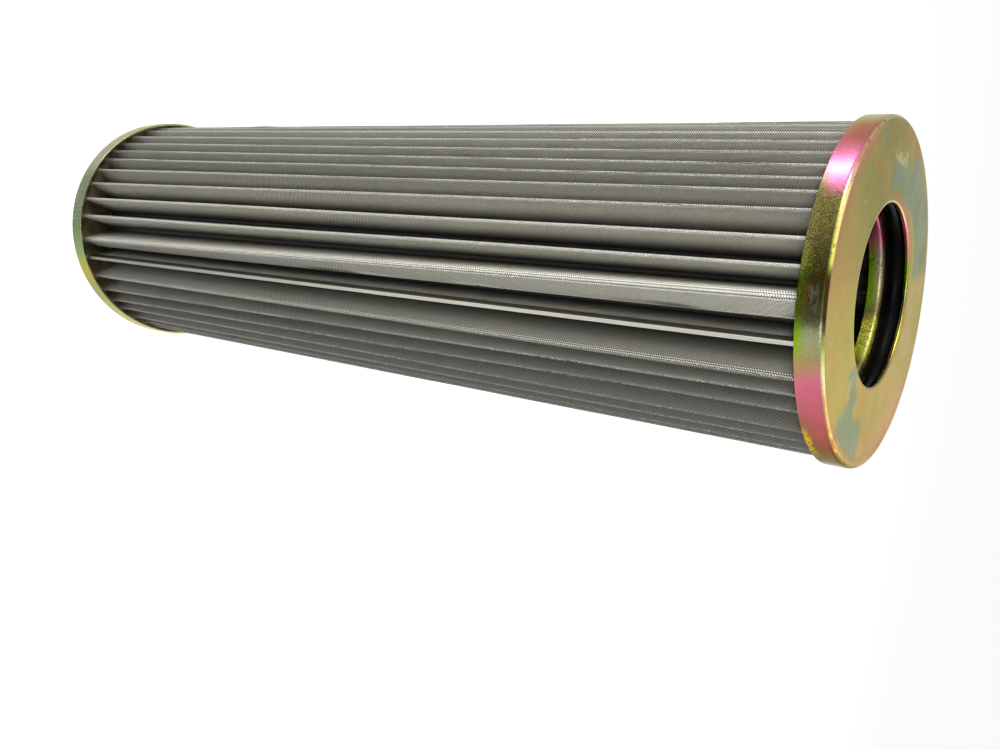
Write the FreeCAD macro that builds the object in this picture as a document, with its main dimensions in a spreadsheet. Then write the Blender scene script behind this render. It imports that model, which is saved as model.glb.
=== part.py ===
import FreeCAD, Part
import math
import os

import Sketcher

# Hydraulic filter element: a pleated wire-cloth pack round a perforated core tube, bonded between two
# pressed steel end caps. Each cap has a stepped seal housing behind its bore, with an O-ring in it.
# The element stands on its bottom cap, with its axis along Z and its origin in that cap's outer face.
# Lengths are in millimetres and angles in degrees.

SIZES = {
    # Whole element
    "element_length": 273.0,
    "cap_diameter": 80.0,
    "bore_diameter": 42.0,
    # End caps
    "cap_sheet": 0.9,
    "rim_height": 6.2,
    "rim_round": 1.2,
    "lip_round": 0.4,
    # Seals and the housings that hold them
    "seal_section": 5.33,
    "seal_proud": 0.2,
    "seal_play": 0.07,
    "housing_sheet": 0.8,
    "collar_end": 9.7,
    # Core tube
    "core_play": 0.1,
    "core_sheet": 0.9,
    "core_plain_end": 20.0,
    "core_hole": 9.0,
    "core_rows": 9,
    "core_punches": 2,
    # Epoxy in the caps
    "potting_play": 0.05,
    "potting_below_rim": 0.7,
    # Pleated pack
    "pleat_count": 52,
    "crest_gap": 0.5,
    "root_gap": 0.15,
    "root_flat": 0.6,
    "fold_bend": 0.14,
    "support_cloth": 0.2,
    "filter_cloth": 0.08,
    "backing_cloth": 0.16,
    "cloth_gap": 0.02,
    "spread_above_seam": 14.0,
    "spread_below_seam": 9.0,
    "spread_reach": 2.5,
    # Side seam
    "clip_sheet": 0.15,
    "clip_leg": 2.6,
    "clip_play": 0.03,
}

# Sizes that follow from the ones above, as formulas of the same sheet
DERIVED = {
    "cap_radius": "cap_diameter / 2",
    "bore_radius": "bore_diameter / 2",
    "rim_inner_radius": "cap_radius - cap_sheet",
    "groove_radius": "bore_radius - seal_proud + seal_section + seal_play",
    "groove_end": "cap_sheet + seal_section + seal_play",
    "housing_radius": "groove_radius + housing_sheet",
    "core_inner_radius": "housing_radius + core_play",
    "core_radius": "core_inner_radius + core_sheet",
    "potting_top": "rim_height - potting_below_rim",
    "pack_sheet": "support_cloth + filter_cloth + backing_cloth + 2 * cloth_gap",
    "crest_radius": "rim_inner_radius - crest_gap",
    "root_radius": "core_radius + root_gap + pack_sheet",
    "fold_radius": "pack_sheet + fold_bend",
    "seam_half": "pack_sheet + cloth_gap",
}

doc = FreeCAD.newDocument("FilterElement")
sheet = doc.addObject("Spreadsheet::Sheet", "sizes")
parts = []


def fill_sheet():
    """Write every size into the sheet, one row each, and give its cell the size's name."""
    rows = list(SIZES.items()) + [(name, "=" + formula) for name, formula in DERIVED.items()]
    for row, (name, value) in enumerate(rows, start=1):
        sheet.set(f"A{row}", str(value))
        sheet.setAlias(f"A{row}", name)
    doc.recompute()


def size(name):
    """Read one size back from the sheet."""
    return float(sheet.get(name))


def in_sheet(formula):
    """Turn a formula of size names into an expression that reads the sheet."""
    words = formula.replace("(", "( ").replace(")", " )").split()
    return " ".join("sizes." + word if word[0].isalpha() else word for word in words)


def value_of(formula):
    """Work out a formula of size names."""
    result = sheet.evalExpression(in_sheet(formula))
    return float(getattr(result, "Value", result))


def bind(feature, path, formula):
    """Make one property of a feature follow a formula of size names."""
    feature.setExpression(path, in_sheet(formula))


def add_part(feature, label):
    """Name a finished sub-part and list it for writing."""
    feature.Label = label
    parts.append(feature)


def draw_outline(sketch, corners):
    """Draw a closed outline whose corners are pairs of formulas, and tie each corner to its pair."""
    points = [FreeCAD.Vector(value_of(across), value_of(up), 0) for across, up in corners]
    count = len(points)
    for number, start in enumerate(points):
        sketch.addGeometry(Part.LineSegment(start, points[(number + 1) % count]), False)
    for number in range(count):
        sketch.addConstraint(Sketcher.Constraint("Coincident", number, 2, (number + 1) % count, 1))
    for number, (across, up) in enumerate(corners):
        for kind, formula, axis in (("DistanceX", across, -2), ("DistanceY", up, -1)):
            if formula == "0":
                sketch.addConstraint(Sketcher.Constraint("PointOnObject", number, 1, axis))
                continue
            distance = Sketcher.Constraint(kind, -1, 1, number, 1, value_of(formula))
            index = sketch.addConstraint(distance)
            bind(sketch, f"Constraints[{index}]", formula)


def sketch_on(body, name, role):
    """Add a sketch to a body, on one of the planes of its own origin."""
    sketch = body.newObject("Sketcher::SketchObject", name)
    plane = [item for item in body.Origin.OriginFeatures if item.Role == role][0]
    sketch.AttachmentSupport = [(plane, "")]
    sketch.MapMode = "FlatFace"
    return sketch


def round_edge(body, name, radius, height, round_formula):
    """Round the circular edge of a turned body that has this radius and this height."""
    base = body.Tip
    edges = []
    for number, edge in enumerate(base.Shape.Edges, start=1):
        if isinstance(edge.Curve, Part.Circle):
            near = abs(edge.Curve.Radius - value_of(radius)) + abs(edge.Curve.Center.z - value_of(height))
            if near < 1e-6:
                edges.append(f"Edge{number}")
    fillet = body.newObject("PartDesign::Fillet", name)
    fillet.Base = (base, edges)
    bind(fillet, "Radius", round_formula)
    doc.recompute()


def turned_body(name, outline, rounds):
    """Turn an outline of (radius, height) corners about Z, then round the edges that are listed."""
    body = doc.addObject("PartDesign::Body", name)
    sketch = sketch_on(body, name + "_section", "XZ_Plane")
    draw_outline(sketch, outline)
    turn = body.newObject("PartDesign::Revolution", name + "_turn")
    turn.Profile = sketch
    turn.ReferenceAxis = (sketch, ["V_Axis"])
    turn.Angle = 360
    doc.recompute()
    for number, (radius, height, round_formula) in enumerate(rounds, start=1):
        round_edge(body, f"{name}_round_{number}", radius, height, round_formula)
    return body


def at_top(feature):
    """Turn a piece that was made for the bottom end over, and set it in the top end."""
    feature.Placement = FreeCAD.Placement(
        FreeCAD.Vector(0, 0, size("element_length")), FreeCAD.Rotation(FreeCAD.Vector(1, 0, 0), 180))
    bind(feature, "Placement.Base.z", "element_length")


def end_cap(name):
    """A cup pressed from sheet: flat face, rolled rim, and the bore with its rounded lip."""
    outline = [
        ("bore_radius", "0"),
        ("cap_radius", "0"),
        ("cap_radius", "rim_height"),
        ("rim_inner_radius", "rim_height"),
        ("rim_inner_radius", "cap_sheet"),
        ("bore_radius", "cap_sheet"),
    ]
    rounds = [
        ("cap_radius", "0", "rim_round"),
        ("bore_radius", "0", "lip_round"),
    ]
    return turned_body(name, outline, rounds)


def seal_housing(name):
    """A stepped ring pressed from sheet: a wide wall round the O-ring, and a collar as wide as the bore."""
    outline = [
        ("groove_radius", "cap_sheet"),
        ("housing_radius", "cap_sheet"),
        ("housing_radius", "groove_end + housing_sheet"),
        ("bore_radius + housing_sheet", "groove_end + housing_sheet"),
        ("bore_radius + housing_sheet", "collar_end"),
        ("bore_radius", "collar_end"),
        ("bore_radius", "groove_end"),
        ("groove_radius", "groove_end"),
    ]
    rounds = [
        ("housing_radius", "groove_end + housing_sheet", "housing_sheet"),
        ("bore_radius", "groove_end", "housing_sheet"),
    ]
    return turned_body(name, outline, rounds)


def potting_ring(name):
    """The epoxy between the core tube and the rim, in which the pack's end stands."""
    outline = [
        ("core_radius + potting_play", "cap_sheet"),
        ("rim_inner_radius - potting_play", "cap_sheet"),
        ("rim_inner_radius - potting_play", "potting_top"),
        ("core_radius + potting_play", "potting_top"),
    ]
    return turned_body(name, outline, [])


def o_ring(name):
    """The seal ring in the groove between the cap's face and the housing's step."""
    ring = doc.addObject("Part::Torus", name)
    bind(ring, "Radius1", "bore_radius - seal_proud + seal_section / 2")
    bind(ring, "Radius2", "seal_section / 2")
    return ring


def cylinder(name, radius, length):
    """A plain cylinder along Z whose radius and length follow formulas."""
    solid = doc.addObject("Part::Cylinder", name)
    bind(solid, "Radius", radius)
    bind(solid, "Height", length)
    return solid


def core_punch(row, number, angle):
    """One punch right across the core tube, which leaves a hole in each of its two walls."""
    punch = cylinder(f"core_punch_{row}_{number}", "core_hole / 2", "4 * core_radius")
    turn = FreeCAD.Rotation(FreeCAD.Vector(0, 0, 1), angle)
    tilt = FreeCAD.Rotation(FreeCAD.Vector(0, 1, 0), 90)
    across = turn.multVec(FreeCAD.Vector(-2 * size("core_radius"), 0, 0))
    punch.Placement = FreeCAD.Placement(across, turn.multiply(tilt))
    first = "core_plain_end"
    step = "( element_length - 2 * core_plain_end ) / ( core_rows - 1 )"
    bind(punch, "Placement.Base.z", f"{first} + {row} * {step}")
    return punch


def core_tube():
    """The perforated tube that carries the pack: it slides over both housings and reaches both caps."""
    outside = cylinder("core_outside", "core_radius", "element_length - 2 * cap_sheet")
    inside = cylinder("core_inside", "core_inner_radius", "element_length")
    bind(outside, "Placement.Base.z", "cap_sheet")
    wall = doc.addObject("Part::Cut", "core_wall")
    wall.Base = outside
    wall.Tool = inside
    punches = []
    punch_step = 180 / size("core_punches")
    for row in range(int(size("core_rows"))):
        stagger = (row % 2) * punch_step / 2
        for number in range(int(size("core_punches"))):
            punches.append(core_punch(row, number, stagger + number * punch_step))
    holes = doc.addObject("Part::Compound", "core_holes")
    holes.Links = punches
    tube = doc.addObject("Part::Cut", "core_tube")
    tube.Base = wall
    tube.Tool = holes
    return tube


def crest_angle(number):
    """Where one fold stands, counted round from the side seam. Folds stand further apart beside it."""
    count = size("pleat_count")
    above = size("spread_above_seam")
    below = size("spread_below_seam")
    reach = size("spread_reach")
    pitch = (360 - above - below) / count
    left_over = 1 - math.tanh((count - number) / reach)
    return -90 + pitch * number + below * math.tanh(number / reach) + above * left_over


def direction(angle):
    """The unit vector at an angle from X, in the plane of the caps."""
    return FreeCAD.Vector(math.cos(math.radians(angle)), math.sin(math.radians(angle)), 0)


def left_of(vector):
    """The vector turned a quarter turn to the left."""
    return FreeCAD.Vector(-vector.y, vector.x, 0)


def meet(normal_a, reach_a, normal_b, reach_b):
    """Where two lines cross, each given by its unit normal and its distance from the axis."""
    turn = normal_a.x * normal_b.y - normal_a.y * normal_b.x
    across = (reach_a * normal_b.y - reach_b * normal_a.y) / turn
    up = (normal_a.x * reach_b - normal_b.x * reach_a) / turn
    return FreeCAD.Vector(across, up, 0)


class Flank:
    """One side of a fold: the flat stretch from the root of a valley up to a crest."""

    def __init__(self, crest, root_angle, side, centre_radius, bend):
        """Lay the flank from the valley's corner so that it touches the bend of the crest.

        side is 1 for the flank after the crest, going round from the seam, and -1 for the one before.
        """
        root = direction(root_angle)
        corner = root * size("root_radius") - left_of(root) * (side * size("root_flat") / 2)
        self.centre = direction(crest) * centre_radius
        self.bend = bend
        down = corner - self.centre
        share = bend / down.Length
        down.normalize()
        self.normal = down * share - left_of(down) * (side * math.sqrt(1 - share ** 2))
        self.reach = self.normal.dot(corner)
        self.root = root

    def root_corner(self, offset):
        """The corner at the valley's root, on the outline that lies this far outside the pack."""
        return meet(self.normal, self.reach + offset, self.root, size("root_radius") + offset)

    def crest_end(self, offset):
        """The point where the flank runs into the bend of the crest, on the same outline."""
        return self.centre + self.normal * (self.bend + offset)


def seam_side(flank, crest, side, offset):
    """The two points at the side seam: the end of the slanting flank and the cloth's cut end."""
    away = left_of(direction(crest)) * side
    half = size("seam_half") + offset
    bend = meet(flank.normal, flank.reach + offset, away, half)
    top_radius = size("crest_radius") - size("clip_sheet") - size("clip_play")
    return bend, direction(crest) * top_radius + away * half


def fold_line(offset, round_crests):
    """The edges of one outline of the pack, from the seam all round to the seam again.

    offset is the distance outside the pack's outer surface. Crests are arcs where round_crests is
    set. On the inner cloths, which lie hidden under the outer one, they are flat.
    """
    count = int(size("pleat_count"))
    fold = size("fold_radius")
    centre_radius = size("crest_radius") - fold
    seam_radius = size("crest_radius") - size("clip_leg") - size("clip_sheet")
    edges = []
    crests = [crest_angle(number) for number in range(count + 1)]
    after = Flank(crests[0], (crests[0] + crests[1]) / 2, 1, seam_radius, size("seam_half"))
    bend, top = seam_side(after, crests[0], 1, offset)
    edges.append(Part.LineSegment(top, bend).toShape())
    last = bend
    for number in range(1, count + 1):
        root_angle = (crests[number - 1] + crests[number]) / 2
        at_seam = number == count
        bend_radius = size("seam_half") if at_seam else fold
        reach = seam_radius if at_seam else centre_radius
        before = Flank(crests[number], root_angle, -1, reach, bend_radius)
        first_corner = after.root_corner(offset)
        second_corner = before.root_corner(offset)
        edges.append(Part.LineSegment(last, first_corner).toShape())
        edges.append(Part.LineSegment(first_corner, second_corner).toShape())
        if at_seam:
            bend, top = seam_side(before, crests[number], -1, offset)
            edges.append(Part.LineSegment(second_corner, bend).toShape())
            edges.append(Part.LineSegment(bend, top).toShape())
            break
        after = Flank(crests[number], (crests[number] + crests[number + 1]) / 2, 1, reach, fold)
        start = before.crest_end(offset)
        last = after.crest_end(offset)
        edges.append(Part.LineSegment(second_corner, start).toShape())
        if round_crests:
            top = direction(crests[number]) * (centre_radius + fold + offset)
            edges.append(Part.Arc(start, top, last).toShape())
        else:
            edges.append(Part.LineSegment(start, last).toShape())
    return edges


def cloth(name, outside, thickness, round_crests):
    """One pleated cloth: the face between two fold lines, drawn out over the length of the pack."""
    outer = fold_line(-outside, round_crests)
    inner = fold_line(-outside - thickness, round_crests)
    ends = [(outer[0].Vertexes[0], inner[0].Vertexes[0]), (outer[-1].Vertexes[-1], inner[-1].Vertexes[-1])]
    caps = [Part.LineSegment(first.Point, second.Point).toShape() for first, second in ends]
    section = doc.addObject("Part::Feature", name + "_section")
    section.Shape = Part.Face(Part.Wire(Part.__sortEdges__(outer + inner + caps)))
    section.Placement = FreeCAD.Placement()
    drawn = doc.addObject("Part::Extrusion", name)
    drawn.Base = section
    drawn.Dir = FreeCAD.Vector(0, 0, 1)
    drawn.Solid = True
    bind(drawn, "LengthFwd", "element_length - 2 * potting_top")
    bind(drawn, "Placement.Base.z", "potting_top")
    return drawn


def seam_clip():
    """The strip folded over the two cut ends of the pack, along the whole seam."""
    body = doc.addObject("PartDesign::Body", "seam_clip_body")
    sketch = sketch_on(body, "seam_clip_section", "XY_Plane")
    inside = "seam_half + clip_play"
    outside = "seam_half + clip_play + clip_sheet"
    foot = "clip_sheet + clip_leg - crest_radius"
    crown = "clip_sheet - crest_radius"
    draw_outline(sketch, [
        (outside, foot),
        (outside, "0 - crest_radius"),
        (f"0 - ( {outside} )", "0 - crest_radius"),
        (f"0 - ( {outside} )", foot),
        (f"0 - ( {inside} )", foot),
        (f"0 - ( {inside} )", crown),
        (inside, crown),
        (inside, foot),
    ])
    pad = body.newObject("PartDesign::Pad", "seam_clip_length")
    pad.Profile = sketch
    bind(pad, "Length", "element_length - 2 * potting_top")
    bind(body, "Placement.Base.z", "potting_top")
    return body


def build():
    """Make every sub-part, bottom end first."""
    fill_sheet()
    for end in ("bottom", "top"):
        pieces = [
            (end_cap(end + "_cap_body"), end + "_end_cap"),
            (seal_housing(end + "_housing_body"), end + "_seal_housing"),
            (potting_ring(end + "_potting_body"), end + "_potting"),
        ]
        for feature, label in pieces:
            if end == "top":
                at_top(feature)
            add_part(feature, label)
        ring = o_ring(end + "_ring")
        middle = "( cap_sheet + groove_end ) / 2"
        bind(ring, "Placement.Base.z", middle if end == "bottom" else "element_length - " + middle)
        add_part(ring, end + "_o_ring")
    add_part(core_tube(), "core_tube")
    support = size("support_cloth")
    under = support + size("cloth_gap")
    inmost = under + size("filter_cloth") + size("cloth_gap")
    add_part(cloth("support_cloth_drawn", 0, support, True), "outer_support_mesh")
    add_part(cloth("filter_cloth_drawn", under, size("filter_cloth"), False), "filter_mesh")
    add_part(cloth("backing_cloth_drawn", inmost, size("backing_cloth"), False), "inner_support_mesh")
    add_part(seam_clip(), "seam_clip")
    doc.recompute()


def check():
    """Stop if any feature failed or any sub-part isn't a valid solid."""
    for feature in doc.Objects:
        if "Invalid" in feature.State or "Error" in feature.State:
            raise RuntimeError(f"{feature.Name} failed: {feature.State}")
    for part in parts:
        if part.Shape.isNull() or not part.Shape.isValid() or not part.Shape.Solids:
            raise RuntimeError(f"{part.Label} is not a valid solid")


def write():
    """Write each sub-part to a file that has its name."""
    os.makedirs("parts", exist_ok=True)
    for part in parts:
        part.Shape.exportStep(f"parts/{part.Label}.step")
        print(f"{part.Label}: {len(part.Shape.Solids)} solid, {part.Shape.Volume:.1f} mm3")


build()
check()
write()
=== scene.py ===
"""Looks of the hydraulic filter element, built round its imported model.

The element stands on its bottom cap with its axis along Z. Lengths are in metres and angles round the
axis are azimuths in degrees, counted from X. The side seam of the pleated pack faces -Y.
"""

import logging
import math
from dataclasses import dataclass, replace
from enum import Enum

import bmesh
import bpy
import numpy as np
from mathutils import Matrix, Vector


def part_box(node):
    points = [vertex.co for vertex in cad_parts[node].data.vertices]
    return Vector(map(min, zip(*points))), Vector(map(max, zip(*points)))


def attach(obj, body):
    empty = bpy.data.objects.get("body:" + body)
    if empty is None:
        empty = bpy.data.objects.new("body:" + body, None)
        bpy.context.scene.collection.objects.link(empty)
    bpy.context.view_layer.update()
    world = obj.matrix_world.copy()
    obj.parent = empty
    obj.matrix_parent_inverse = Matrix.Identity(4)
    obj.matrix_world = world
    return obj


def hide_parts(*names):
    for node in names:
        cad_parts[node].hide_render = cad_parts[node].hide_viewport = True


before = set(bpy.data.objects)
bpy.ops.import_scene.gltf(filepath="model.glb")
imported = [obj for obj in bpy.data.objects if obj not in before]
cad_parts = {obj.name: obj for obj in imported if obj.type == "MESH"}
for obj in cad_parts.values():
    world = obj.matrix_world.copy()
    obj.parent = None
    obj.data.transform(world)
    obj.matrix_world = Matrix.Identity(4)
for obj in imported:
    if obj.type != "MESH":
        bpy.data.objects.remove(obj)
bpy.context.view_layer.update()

LOG = logging.getLogger("filter_element")
MM = 0.001

Colour = tuple[float, float, float]
Stops = tuple[tuple[float, Colour], ...]
Span = tuple[float, float]
Inputs = dict[str | int, object]
Takes = dict[str, tuple[str, object]]
Tree = bpy.types.NodeTree
Node = bpy.types.Node
Socket = bpy.types.NodeSocket
Outputs = bpy.types.NodeOutputs
Material = bpy.types.Material
Object = bpy.types.Object


class End(Enum):
    """The two ends of the element."""

    BOTTOM = "bottom"
    TOP = "top"


class Slot(Enum):
    """The record's material slots."""

    ZINC = "zinc_plate"
    CORE = "core_steel"
    CLOTH = "wire_cloth"
    FINE_CLOTH = "fine_cloth"
    STRIP = "seam_strip"
    RUBBER = "seal_rubber"
    EPOXY = "epoxy"


class Zinc:
    """Tints of yellow-passivated zinc plate, as screen colours."""

    GOLD = (190, 166, 102)
    PALE_GOLD = (204, 186, 112)
    STRAW = (162, 150, 92)
    BRONZE = (146, 131, 82)
    OLIVE = (132, 126, 72)
    # also laid as painted dark reflections on the top cap's rim and corner
    DARK_OLIVE = (78, 75, 36)
    LIME = (132, 170, 22)
    SAGE = (160, 166, 130)
    PALE_SAGE = (158, 170, 138)
    GREY_SAGE = (136, 154, 134)
    TEAL = (100, 127, 120)
    ROSE = (220, 114, 138)
    SALMON = (172, 100, 94)
    PINK = (226, 122, 164)
    UMBER = (72, 48, 20)
    # also the colour of the painted glints in the rim's grit
    LEMON = (240, 240, 72)
    CREAM = (216, 204, 168)


def linear(colour: Colour) -> tuple[float, float, float, float]:
    """Turn a screen colour into the colour that a socket takes.

    Args:
        colour: red, green and blue of 0 to 255.

    Returns:
        The linear colour, with an alpha of 1.
    """
    shares = [channel / 255 for channel in colour]
    straight = [s / 12.92 if s <= 0.04045 else ((s + 0.055) / 1.055) ** 2.4 for s in shares]
    return (*straight, 1.0)


def turn_of(azimuth: float) -> float:
    """Return an azimuth of -180 to 180 as a turn of 0 to 1 from -X."""
    return 0.5 + azimuth / 360


def round_stops(*stops: tuple[float, Colour]) -> Stops:
    """Turn stops placed by azimuth into stops placed by turn."""
    return tuple((turn_of(azimuth), colour) for azimuth, colour in stops)


class Board:
    """A node tree being wired: it adds nodes, and sets or links their inputs."""

    def __init__(self, tree: Tree) -> None:
        """Keep the tree that the nodes go into."""
        self.tree = tree

    def put(self, node: Node, name: str | int, value: object) -> None:
        """Link a socket into an input, or set the input to a plain value.

        Args:
            node: the node that the input belongs to.
            name: the input's name or number.
            value: a socket or a plain value.
        """
        if isinstance(value, Socket):
            self.tree.links.new(value, node.inputs[name])
        else:
            node.inputs[name].default_value = value

    def add(self, kind: str, inputs: Inputs | None = None, **settings: object) -> Node:
        """Add a node.

        Args:
            kind: the node's type name.
            inputs: a value or a source socket for each input, by name or number.
            settings: properties of the node, set before its inputs.

        Returns:
            The node.
        """
        node = self.tree.nodes.new(kind)
        for name, value in settings.items():
            setattr(node, name, value)
        for name, value in (inputs or {}).items():
            self.put(node, name, value)
        return node

    def make(self, kind: str, inputs: Inputs | None = None, **settings: object) -> Socket:
        """Add a node in the same way and return its first output."""
        return self.add(kind, inputs, **settings).outputs[0]

    def group(self, tree: Tree, **values: object) -> Outputs:
        """Add a node group with its inputs set, and return its outputs."""
        return self.add("ShaderNodeGroup", values, node_tree=tree).outputs

    def maths(self, operation: str, *values: object) -> Socket:
        """Add a maths node and return its result."""
        return self.make("ShaderNodeMath", dict(enumerate(values)), operation=operation)

    def times(self, first: object, second: object) -> Socket:
        """Return the product of two values."""
        return self.maths("MULTIPLY", first, second)

    def less(self, first: object, second: object) -> Socket:
        """Return the first value less the second."""
        return self.maths("SUBTRACT", first, second)

    def vector(self, operation: str, *values: object) -> Socket:
        """Add a vector maths node and return its vector."""
        return self.make("ShaderNodeVectorMath", dict(enumerate(values)), operation=operation)

    def split(self, vector: Socket) -> list[Socket]:
        """Return the three parts of a vector."""
        return list(self.add("ShaderNodeSeparateXYZ", {0: vector}).outputs)

    def join(self, *parts: object) -> Socket:
        """Return a vector made of up to three parts."""
        return self.make("ShaderNodeCombineXYZ", dict(enumerate(parts)))

    def fade(self, value: object, low: float, high: float) -> Socket:
        """Return a mask that rises smoothly from 0 at low to 1 at high."""
        limits = {"Value": value, "From Min": low, "From Max": high}
        return self.make("ShaderNodeMapRange", limits, interpolation_type="SMOOTHSTEP")

    def band(self, value: object, span: Span, soft: float) -> Socket:
        """Return a mask that is 1 inside a span, with soft edges of that width."""
        rise, fall = (self.fade(value, edge - soft, edge + soft) for edge in span)
        return self.less(rise, fall)

    def scale(self, value: object, low: float, high: float) -> Socket:
        """Return a 0 to 1 value stretched to run from low to high."""
        return self.maths("MULTIPLY_ADD", value, high - low, low)

    def blend(self, share: object, first: object, second: object, how: str = "MIX") -> Socket:
        """Mix two colours by a share of 0 to 1 and return the result."""
        inputs = {0: share, 6: first, 7: second}
        return self.add("ShaderNodeMix", inputs, data_type="RGBA", blend_type=how).outputs[2]

    def shade(self, colour: object, light: Socket) -> Socket:
        """Return a colour made darker or lighter by a factor."""
        return self.blend(1.0, colour, self.join(light, light, light), "MULTIPLY")

    def noise(self, where: object, size: float | Socket, detail: float = 3.0, rough: float = 0.5) -> Socket:
        """Add noise.

        Args:
            where: the coordinates that it is laid on.
            size: about how wide its features are.
            detail: how many finer layers it has.
            rough: how strong the finer layers are.

        Returns:
            The noise, of 0 to 1.
        """
        scale = self.maths("DIVIDE", 1.0, size) if isinstance(size, Socket) else 1 / size
        values = {"Vector": where, "Scale": scale, "Detail": detail, "Roughness": rough}
        return self.make("ShaderNodeTexNoise", values)

    def ramp(self, share: object, stops: Stops) -> Socket:
        """Add a row of colours that change into each other.

        Args:
            share: the place in the row, of 0 to 1.
            stops: each colour with its own place.

        Returns:
            The colour at the share.
        """
        node = self.add("ShaderNodeValToRGB", {0: share})
        elements = node.color_ramp.elements
        while len(elements) < len(stops):
            elements.new(0.5)
        for element, (place, colour) in zip(elements, sorted(stops)):
            element.position = place
            element.color = linear(colour)
        return node.outputs[0]

    def bump(self, height: object, depth: float, strength: float, under: object = None) -> Socket:
        """Add a relief.

        Args:
            height: the relief's height, of 0 to 1.
            depth: how deep the relief is in metres.
            strength: how much of it shows.
            under: the normal of a relief that lies under this one.

        Returns:
            The normal.
        """
        node = self.add("ShaderNodeBump", {"Height": height, "Distance": depth, "Strength": strength})
        if under is not None:
            self.put(node, "Normal", under)
        return node.outputs[0]


class GroupBoard(Board):
    """A new node group being wired, with its inputs as entry."""

    def __init__(self, kind: str, name: str, takes: Takes, gives: dict[str, str]) -> None:
        """Start the group.

        Args:
            kind: Shader or Geometry.
            name: the group's name.
            takes: each input's kind of socket and default value, or None where it has none.
            gives: each output's kind of socket.
        """
        super().__init__(bpy.data.node_groups.new(name, kind + "NodeTree"))
        new_socket = self.tree.interface.new_socket
        for label, (socket, default) in takes.items():
            made = new_socket(label, in_out="INPUT", socket_type="NodeSocket" + socket)
            if default is not None:
                made.default_value = default
        for label, socket in gives.items():
            new_socket(label, in_out="OUTPUT", socket_type="NodeSocket" + socket)
        self.entry = self.add("NodeGroupInput").outputs
        self.leave = self.add("NodeGroupOutput")

    def give(self, **values: Socket) -> Tree:
        """Put values out of the group, by the outputs' names, and return the finished tree."""
        for name, value in values.items():
            self.put(self.leave, name, value)
        return self.tree


class ShapeBoard(GroupBoard):
    """A geometry tree being wired."""

    def __init__(self, name: str, takes: Takes) -> None:
        """Start a tree that takes and gives a geometry, and has these other inputs."""
        takes = {"Geometry": ("Geometry", None), **takes}
        super().__init__("Geometry", name, takes, {"Geometry": "Geometry"})

    def shape_of(self, name: str) -> Socket:
        """Return the shape of the object that the input of that name holds."""
        return self.add("GeometryNodeObjectInfo", {"Object": self.entry[name]}).outputs["Geometry"]

    def place(self) -> Socket:
        """Return each point's position."""
        return self.make("GeometryNodeInputPosition")

    def move(self, shape: Socket, **inputs: object) -> Socket:
        """Return a shape with its points moved, by the node's own inputs."""
        return self.make("GeometryNodeSetPosition", {"Geometry": shape, **inputs})

    def close(self, shape: Socket, finish: str) -> Tree:
        """End the tree: make its instances real and dress them.

        Args:
            shape: the finished shape.
            finish: the name of the input that holds its material.

        Returns:
            The tree.
        """
        shape = self.make("GeometryNodeRealizeInstances", {0: shape})
        shape = self.make("GeometryNodeSetMaterial", {"Geometry": shape, "Material": self.entry[finish]})
        return self.give(Geometry=shape)


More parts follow.
